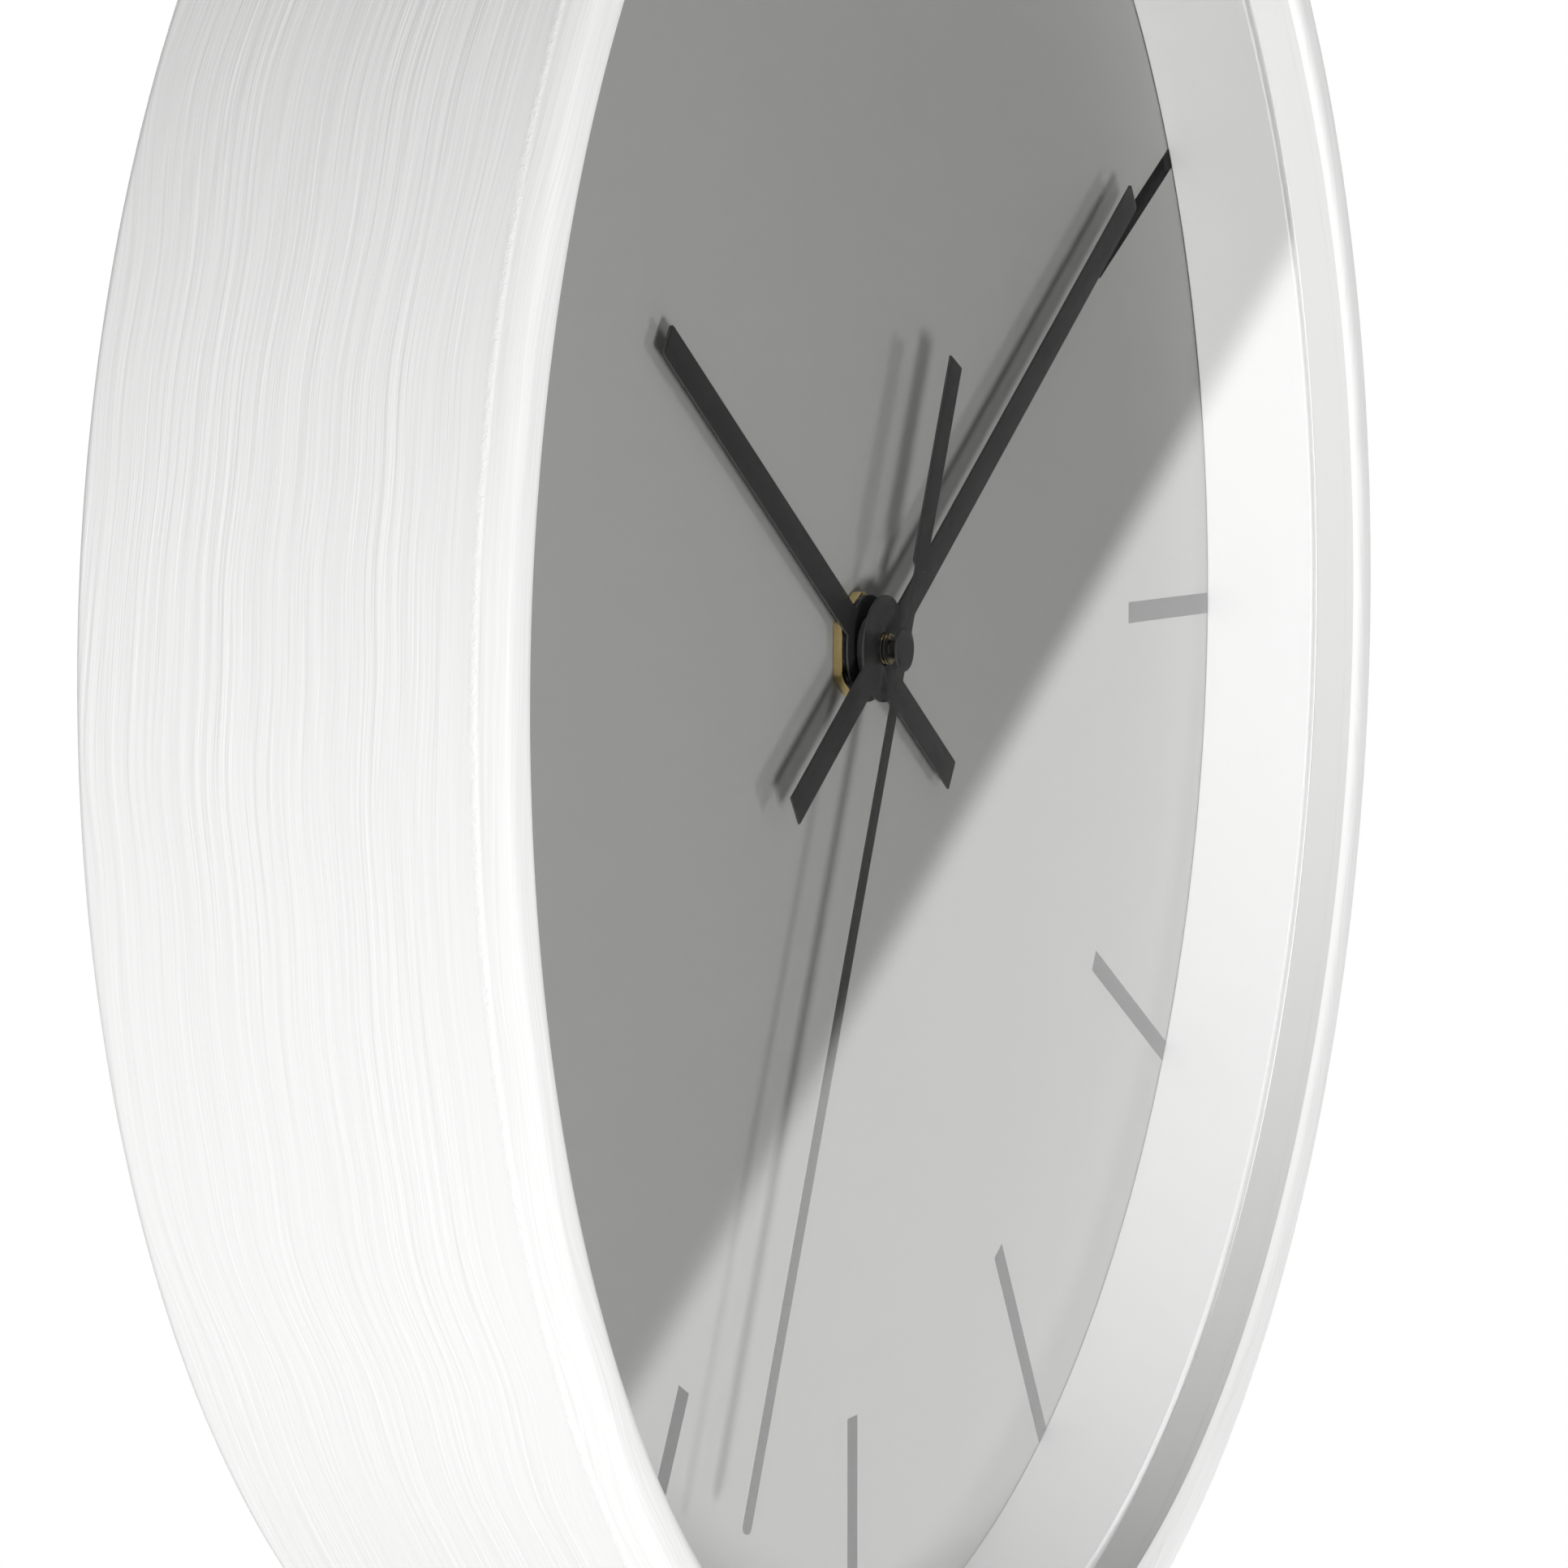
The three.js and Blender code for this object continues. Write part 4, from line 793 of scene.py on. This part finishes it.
# The rounded rim: how far in from the collar's radius, and how far behind its front face.
COLLAR_RIM = ((0.30, 0.0), (0.21, 0.03), (0.12, 0.10), (0.05, 0.20), (0.0, 0.34))
NUT_ACROSS = 11.6
NUT_BORE = 4.05
NUT_CORNER_CUT = 0.62


def add_collar():
    """A glossy washer with a rounded rim, round which runs a thin line of bare metal."""
    front, back = low_mm("hour_collar").y, high_mm("hour_collar").y
    outer = high_mm("hour_collar").x
    rim = [(outer - inward, front + behind) for inward, behind in COLLAR_RIM]
    profile = [(HOUR_BORE, front), *rim, (outer, back), (HOUR_BORE, back)]
    mesh = lathe("hour_collar_gloss", profile, 128)
    finish = edged_gloss(outer, back - COLLAR_BARE_LINE[0], back - COLLAR_BARE_LINE[1])
    piece(
        "hour_collar_gloss", mesh, "hour_hand_set", "black_gloss_plastic", "hour_collar",
        material=finish)


def add_nut():
    """A brass hexagon nut whose six corners are cut off straight."""
    front, back = low_mm("shaft_nut").y, high_mm("shaft_nut").y
    corner = NUT_ACROSS / math.sqrt(3)
    cut = NUT_CORNER_CUT / corner
    outline = []
    for side in range(6):
        start, end = (
            Vector((math.cos(math.radians(angle)), math.sin(math.radians(angle))))
            for angle in (30 + 60 * side, 90 + 60 * side))
        for share in (cut, 0.5, 1 - cut):
            point = start.lerp(end, share) * corner
            outline.append((point.x, point.y))
    mesh = outline_mesh(
        "shaft_nut_brass", [outline, circle(NUT_BORE)], front, back - front, 0.14, 3)
    piece("shaft_nut_brass", mesh, "clock_body", "brass", "shaft_nut")


# ---- behind the dial: board, clips and hanger ----

CLIP_COUNT = 4
CLIP_HALF_WIDTH = 5.0
CLIP_HEEL, CLIP_SHOULDER, CLIP_TIP = 110.0, 119.6, 123.6
CLIP_CORNER = 0.9
RIB_HEEL, RIB_TIP = CLIP_HEEL + 2, CLIP_TIP - 5.5
HANGER_HALF_WIDTH = 11.0
HANGER_THICKNESS = 0.8
HANGER_STEP = 31.5  # the height at which the strap folds back
HANGER_BEND = 1.2  # the bends' radius on the middle of the sheet
KEYHOLE_PLACE = 38.0
KEYHOLE_RADIUS = 4.2
KEYHOLE_SLOT = 2.2
KEYHOLE_TOP = 45.0
SHAFT_HOLE = 4.2


def add_board():
    mesh = lathe("backing_board_fibre", rounded_ring(
        high_mm("backing_board").x, BOARD_HOLE_RADIUS, low_mm("backing_board").y,
        high_mm("backing_board").y, 0.3), FINE_STEPS)
    piece("backing_board_fibre", mesh, "clock_body", "hardboard", "backing_board")


def corner_rounded(points, radius, steps=5):
    """An outline with each of its corners rounded off by the same radius."""
    rounded = []
    for index, corner in enumerate(points):
        here = Vector(corner)
        before = (Vector(points[index - 1]) - here).normalized()
        after = (Vector(points[(index + 1) % len(points)]) - here).normalized()
        reach = min(radius, 0.45 * (Vector(points[index - 1]) - here).length,
                    0.45 * (Vector(points[(index + 1) % len(points)]) - here).length)
        for step in range(steps + 1):
            share = step / steps
            spot = here + before * reach * (1 - share) ** 2 + after * reach * share ** 2
            rounded.append((spot.x, spot.y))
    return rounded


def add_clips():
    """Steel tongues pushed into the wood, each stiffened by a pressed rib."""
    outline = corner_rounded([
        (-CLIP_HALF_WIDTH, CLIP_HEEL), (CLIP_HALF_WIDTH, CLIP_HEEL),
        (CLIP_HALF_WIDTH, CLIP_SHOULDER), (1, CLIP_TIP), (-1, CLIP_TIP),
        (-CLIP_HALF_WIDTH, CLIP_SHOULDER)], CLIP_CORNER)
    rib = corner_rounded(
        [(-1, RIB_HEEL), (1, RIB_HEEL), (1, RIB_TIP), (-1, RIB_TIP)], CLIP_CORNER)
    for index in range(CLIP_COUNT):
        node = f"retaining_clip_{index + 1}"
        front, back = low_mm(node).y, high_mm(node).y
        tongue = outline_mesh("tongue", [outline], front, back - front, 0.12)
        ridge = outline_mesh("ridge", [rib], back - 0.2, 0.45, 0.2, 3)
        mesh = turn_mesh(joined(f"clip_{index + 1}_steel", [tongue, ridge]), 45 + 90 * index)
        piece(f"clip_{index + 1}_steel", mesh, "clock_body", "steel", node)


def bend_path(length, front, rear, step_z, bottom_z):
    """Where a place on the flat hanger sheet goes once it is folded: its y, its z and its tilt."""
    quarter = HANGER_BEND * math.pi / 2
    rise = step_z - HANGER_BEND - bottom_z
    reach = rear - front - 2 * HANGER_BEND
    if length <= rise:
        return front, bottom_z + length, 0.0
    length -= rise
    if length <= quarter:
        turn = length / HANGER_BEND
        return (front + HANGER_BEND * (1 - math.cos(turn)),
                step_z - HANGER_BEND * (1 - math.sin(turn)), turn)
    length -= quarter
    if length <= reach:
        return front + HANGER_BEND + length, step_z, math.pi / 2
    length -= reach
    if length <= quarter:
        turn = math.pi / 2 - length / HANGER_BEND
        return (rear - HANGER_BEND * (1 - math.cos(turn)),
                step_z + HANGER_BEND * (1 - math.sin(turn)), turn)
    length -= quarter
    return rear, step_z + HANGER_BEND + length, 0.0


def add_hanger():
    """A folded steel strap with a keyhole, cut flat and then bent with real radii."""
    low, high = low_mm("hanger_plate"), high_mm("hanger_plate")
    thick = HANGER_THICKNESS
    front, rear = low.y + thick / 2, high.y - thick / 2
    step_z = HANGER_STEP + thick / 2
    quarter = HANGER_BEND * math.pi / 2
    rise = step_z - HANGER_BEND - low.z
    reach = rear - front - 2 * HANGER_BEND
    upper = rise + 2 * quarter + reach - (step_z + HANGER_BEND)
    top = high.z + upper
    sheet = corner_rounded([
        (-HANGER_HALF_WIDTH, 0), (HANGER_HALF_WIDTH, 0), (HANGER_HALF_WIDTH, top),
        (-HANGER_HALF_WIDTH, top)], 3.0, 8)
    mouth = math.degrees(math.acos(KEYHOLE_SLOT / KEYHOLE_RADIUS))
    keyhole = arc((0, KEYHOLE_PLACE + upper), KEYHOLE_RADIUS, 180 - mouth, 360 + mouth, 28)
    keyhole += arc((0, KEYHOLE_TOP + upper), KEYHOLE_SLOT, 0, 180, 12)
    mesh = outline_mesh("hanger_folded", [
        sheet, circle(SHAFT_HOLE, centre=(0, -low.z)), keyhole], -thick / 2, thick, 0.1)
    work = bmesh.new()
    work.from_mesh(mesh)
    cuts = [rise + quarter * step / 8 for step in range(9)]
    cuts += [rise + quarter + reach + quarter * step / 8 for step in range(9)]
    for cut in cuts:
        bmesh.ops.bisect_plane(
            work, geom=[*work.verts, *work.edges, *work.faces], plane_co=(0, 0, cut * MM),
            plane_no=(0, 0, 1))
    for vert in work.verts:
        y, z, turn = bend_path(vert.co.z / MM, front, rear, step_z, low.z)
        offset = vert.co.y / MM
        vert.co.y = (y + offset * math.cos(turn)) * MM
        vert.co.z = (z - offset * math.sin(turn)) * MM
    work.to_mesh(mesh)
    work.free()
    piece("hanger_folded", mesh, "clock_body", "steel", "hanger_plate")


# ---- behind the dial: the movement ----

KNOB_RADIUS = 4.6
KNOB_FLUTES = 16
KNOB_BORE = 1.35
CELL_RADIUS = 7.1
CELL_LENGTH = 49.2
CELL_NUB, CELL_NUB_RADIUS = 1.3, 2.75


def soften(name, width, segments=2):
    """Gives a CAD node that stays in view small rounded edges."""
    node = NODES[name]
    weld = node.modifiers.new("weld", "WELD")
    weld.merge_threshold = 1e-6
    flatten = node.modifiers.new("flatten", "DECIMATE")
    flatten.decimate_type = "DISSOLVE"
    flatten.angle_limit = math.radians(0.5)
    rounding = node.modifiers.new("rounding", "BEVEL")
    rounding.width = width * MM
    rounding.segments = segments
    rounding.limit_method = "ANGLE"
    rounding.angle_limit = SMOOTH_ANGLE
    rounding.harden_normals = False
    flat = node.modifiers.new("flat_faces", "WEIGHTED_NORMAL")
    flat.weight = 100
    flat.keep_sharp = True


def add_knob():
    place = centre_mm("setting_knob")
    low, high = low_mm("setting_knob"), high_mm("setting_knob")

    def fluted(radius, y, angle):
        if radius < KNOB_RADIUS - 0.5:
            return radius, y
        return radius - 0.35 * (0.5 - 0.5 * math.cos(KNOB_FLUTES * angle)) ** 2, y

    profile = [
        *arc((KNOB_RADIUS - 0.25, low.y + 0.25), 0.25, -90, 0, 3),
        *arc((KNOB_RADIUS - 0.25, high.y - 0.25), 0.25, 0, 90, 3),
        (3.6, high.y), (3.4, high.y - 0.35), (2.3, high.y - 0.35), (2.1, high.y),
        (KNOB_BORE, high.y), (KNOB_BORE, low.y)]
    mesh = lathe("setting_knob_fluted", profile, 192, place=(place.x, place.z), change=fluted)
    piece("setting_knob_fluted", mesh, "setting_knob_set", "black_plastic", "setting_knob")


def along_x(mesh, start, place):
    """Lays a mesh that was turned about Y along X instead, from start mm onwards."""
    mesh.transform(Matrix.Translation((start * MM, place.y * MM, place.z * MM)) @ Matrix.Rotation(
        -math.pi / 2, 4, "Z"))
    return mesh


def add_battery():
    """A single cell: a shrunk jacket rolled over both ends of a steel can."""
    place = centre_mm("battery")
    start = low_mm("battery").x
    jacket = [
        (CELL_RADIUS - 1.1, 0.0), (CELL_RADIUS - 0.45, 0.0),
        *arc((CELL_RADIUS - 0.5, 0.5), 0.5, -90, 0, 5),
        *arc((CELL_RADIUS - 0.6, CELL_LENGTH - 0.6), 0.6, 0, 90, 5),
        (CELL_RADIUS - 1.3, CELL_LENGTH), (CELL_RADIUS - 1.4, CELL_LENGTH - 0.25),
        (CELL_RADIUS - 1.4, 0.25)]
    mesh = along_x(lathe("battery_wrap", jacket, 96), start, place)
    piece("battery_wrap", mesh, "battery_set", "battery_jacket", "battery")
    can = [
        (0, 0.12), (CELL_RADIUS - 2.4, 0.12), (CELL_RADIUS - 2.2, 0.3), (CELL_RADIUS - 1.45, 0.3),
        (CELL_RADIUS - 1.45, CELL_LENGTH - 0.3), (CELL_NUB_RADIUS + 0.6, CELL_LENGTH - 0.3),
        (CELL_NUB_RADIUS, CELL_LENGTH - 0.1), (CELL_NUB_RADIUS, CELL_LENGTH + CELL_NUB - 0.3),
        (CELL_NUB_RADIUS - 0.3, CELL_LENGTH + CELL_NUB), (0, CELL_LENGTH + CELL_NUB)]
    mesh = along_x(lathe("battery_can", can, 96), start, place)
    piece("battery_can", mesh, "battery_set", "steel")


SIGN_ARM, SIGN_HALF = 1.6, 0.35
SIGN_LIFT = 0.42


def add_case_marks():
    """Moulded on the case's back: plus and minus, a turning arrow by the knob, and five ribs."""
    deck = low_mm("setting_knob").y - 0.3
    knob = centre_mm("setting_knob")
    arm, half = SIGN_ARM, SIGN_HALF
    signs = []
    for x, upright in ((20.0, True), (-20.0, False)):
        z = -7.0
        bar = [(x - arm, z - half), (x + arm, z - half), (x + arm, z + half), (x - arm, z + half)]
        if upright:
            bar = [
                (x - arm, z - half), (x - half, z - half), (x - half, z - arm),
                (x + half, z - arm), (x + half, z - half), (x + arm, z - half),
                (x + arm, z + half), (x + half, z + half), (x + half, z + arm),
                (x - half, z + arm), (x - half, z + half), (x - arm, z + half)]
        signs.append(outline_mesh("sign", [bar], deck - 0.02, SIGN_LIFT, 0.08, 1))
    centre = (knob.x, knob.z)
    sweep = arc(centre, KNOB_RADIUS + 2.2, 20, 150, 20) + list(reversed(arc(
        centre, KNOB_RADIUS + 1.6, 20, 150, 20)))
    signs.append(outline_mesh("sweep", [sweep], deck - 0.02, SIGN_LIFT, 0.08, 1))
    tip = math.radians(150)
    outward = Vector((math.cos(tip), math.sin(tip)))
    onward = Vector((-outward.y, outward.x))
    middle = Vector(centre) + outward * (KNOB_RADIUS + 1.9)
    head = [middle + outward * 1.0, middle - outward * 1.0, middle + onward * 1.9]
    head = [(corner.x, corner.y) for corner in reversed(head)]
    signs.append(outline_mesh("head", [head], deck - 0.02, SIGN_LIFT, 0.06, 1))
    for row in range(5):
        z = 10.0 - row * 2.0
        slot = corner_rounded([(8, z - 0.4), (22, z - 0.4), (22, z + 0.4), (8, z + 0.4)], 0.35)
        signs.append(outline_mesh("rib", [slot], deck - 0.02, SIGN_LIFT, 0.1, 1))
    piece("case_marks", joined("case_marks", signs), "clock_body", "black_plastic")


def add_movement():
    add_knob()
    add_battery()
    add_case_marks()
    soften("movement_case", 0.3)
    soften("movement_cover", 0.3)
    soften("battery_contact_positive", 0.08)
    soften("battery_contact_negative", 0.08)
    NODES["minute_shaft"].data.materials.clear()
    NODES["minute_shaft"].data.materials.append(THREADED_BRASS)


# ---- the studio ----

FLOOR_DROP = 1.25
FLOOR_RADIUS = 4.2
FLOOR_FADE = (2.0, 4.2)
FLOOR_GLOW, FLOOR_GLOW_SEEN = 0.08, 0.55
KEY_SIDE = Vector((-0.674, -0.674, -0.303))
FILL_SIDE = Vector((0.27, -0.90, -0.35))
# Two more stand behind the clock, and reach nothing that is seen from in front.
BACK_KEY_SIDE = Vector((0.55, 0.70, 0.45))
BACK_FILL_SIDE = Vector((0.05, 0.97, -0.25))
LIGHT_DISTANCE = 1.2


def add_floor():
    """A plain pale floor at room height below the clock, fading into the studio's white."""
    work = bmesh.new()
    bmesh.ops.create_circle(work, cap_ends=True, radius=FLOOR_RADIUS, segments=96)
    mesh = bpy.data.meshes.new("floor")
    work.to_mesh(mesh)
    work.free()
    floor = bpy.data.objects.new("floor", mesh)
    floor.location = (0, 0, -FLOOR_DROP)
    bpy.context.scene.collection.objects.link(floor)
    made = Surface("floor", Roughness=0.9)
    cloud = made.noise(4, detail=3.0)
    made.colour(made.blend(cloud, grey(0.80), grey(0.84)))
    made.shader.inputs["Emission Color"].default_value = grey(1.0)
    # The floor looks as white as the studio, but lends the clock less light than that.
    to_eye = made.node("ShaderNodeLightPath").outputs["Is Camera Ray"]
    made.wire(
        made.ranged(to_eye, 0.0, 1.0, FLOOR_GLOW, FLOOR_GLOW_SEEN),
        made.shader.inputs["Emission Strength"])
    length = made.node("ShaderNodeVectorMath", operation="LENGTH")
    made.wire(made.place, length.inputs[0])
    fade = made.ranged(length.outputs["Value"], *FLOOR_FADE, 0.0, 1.0, smooth=True)
    clear = made.node("ShaderNodeBsdfTransparent")
    both = made.node("ShaderNodeMixShader")
    made.wire(fade, both.inputs[0])
    made.wire(made.shader.outputs[0], both.inputs[1])
    made.wire(clear.outputs[0], both.inputs[2])
    made.wire(both.outputs[0], made.tree.nodes["Material Output"].inputs["Surface"])
    mesh.materials.append(made.material)


def add_softbox(name, side, size, watts, mirrored=True):
    """A round lamp aimed at the clock. One that isn't mirrored shows no white disc in the lens."""
    data = bpy.data.lights.new(name, "AREA")
    data.shape = "DISK"
    data.size = size
    data.energy = watts
    lamp = bpy.data.objects.new(name, data)
    lamp.location = side.normalized() * LIGHT_DISTANCE
    lamp.rotation_mode = "QUATERNION"
    lamp.rotation_quaternion = (-side).to_track_quat("-Z", "Y")
    lamp.visible_glossy = mirrored
    lamp.visible_transmission = mirrored
    bpy.context.scene.collection.objects.link(lamp)


# The panel that the lens mirrors: its straight upper edge crosses the dial as a soft diagonal.
PANEL_X = 600
PANEL_EDGE = Vector((-245.0, -36.0))
PANEL_ALONG = Vector((0.513, 0.859))
PANEL_HALF_LENGTH, PANEL_REACH = 700, 620
PANEL_SOFT = 9.5
PANEL_RADIANCE = 1.2


def add_glow(name, corners, strength):
    """A flat glowing shape that only shiny surfaces see. Strength is made from its own material."""
    work = bmesh.new()
    work.faces.new([work.verts.new(corner * MM) for corner in corners])
    mesh = bpy.data.meshes.new(name)
    work.to_mesh(mesh)
    work.free()
    shape = bpy.data.objects.new(name, mesh)
    bpy.context.scene.collection.objects.link(shape)
    made = Surface(name)
    glow = made.node("ShaderNodeEmission")
    made.wire(strength(made), glow.inputs["Strength"])
    made.wire(glow.outputs[0], made.tree.nodes["Material Output"].inputs["Surface"])
    mesh.materials.append(made.material)
    shape.visible_camera = False
    shape.visible_diffuse = False
    shape.visible_shadow = False


def add_reflected_panel():
    along = PANEL_ALONG.normalized()
    across = Vector((along.y, -along.x))
    start = PANEL_EDGE.dot(across)
    corners = []
    half = PANEL_HALF_LENGTH
    for run, reach in ((-half, 0), (half, 0), (half, PANEL_REACH), (-half, PANEL_REACH)):
        spot = PANEL_EDGE + along * run + across * reach
        corners.append(Vector((PANEL_X, spot.x, spot.y)))

    def soft_edge(made):
        offset = made.node("ShaderNodeVectorMath", operation="DOT_PRODUCT")
        made.wire(made.place, offset.inputs[0])
        offset.inputs[1].default_value = (0, across.x, across.y)
        return made.ranged(
            offset.outputs["Value"], start * MM, (start + PANEL_SOFT) * MM,
            0.0, PANEL_RADIANCE, smooth=True)

    add_glow("panel", corners, soft_edge)


# The studio's soft light at each direction: white walls to the left, a dark flag to the right.
AMBIENT = 0.255
AMBIENT_FROM_LEFT = 0.29
AMBIENT_FROM_ABOVE = 0.075


def add_world():
    """White to the eye, with a soft light that comes mostly from the left, and more from above."""
    world = bpy.data.worlds.new("studio")
    bpy.context.scene.world = world
    world.use_nodes = True
    tree = world.node_tree
    background = tree.nodes["Background"]
    background.inputs["Color"].default_value = grey(1.0)
    side = tree.nodes.new("ShaderNodeTexCoord").outputs["Generated"]
    rays = tree.nodes.new("ShaderNodeLightPath").outputs
    slope = tree.nodes.new("ShaderNodeVectorMath")
    slope.operation = "DOT_PRODUCT"
    tree.links.new(side, slope.inputs[0])
    slope.inputs[1].default_value = (-AMBIENT_FROM_LEFT, 0, AMBIENT_FROM_ABOVE)
    soft = tree.nodes.new("ShaderNodeMath")
    soft.operation = "ADD"
    tree.links.new(slope.outputs["Value"], soft.inputs[0])
    soft.inputs[1].default_value = AMBIENT
    # A maximum keeps the flag at black, and shows plain white to the camera.
    seen = tree.nodes.new("ShaderNodeMath")
    seen.operation = "MAXIMUM"
    tree.links.new(soft.outputs[0], seen.inputs[0])
    tree.links.new(rays["Is Camera Ray"], seen.inputs[1])
    tree.links.new(seen.outputs[0], background.inputs["Strength"])


def add_studio():
    bpy.context.scene.view_settings.view_transform = "Standard"
    add_world()
    add_floor()
    add_softbox("key", KEY_SIDE, size=0.26, watts=10.8, mirrored=False)
    add_softbox("fill", FILL_SIDE, size=0.25, watts=3.0, mirrored=False)
    add_softbox("back_key", BACK_KEY_SIDE, size=0.40, watts=8.0)
    add_softbox("back_fill", BACK_FILL_SIDE, size=0.50, watts=3.4)
    add_reflected_panel()


# ---- build ----

add_frame_ring()
add_lens()
add_spacer()
add_dial()
add_marks()
add_hour_hand()
add_collar()
add_minute_hand()
add_seconds_hand()
add_nut()
add_board()
add_clips()
add_hanger()
add_movement()
add_studio()
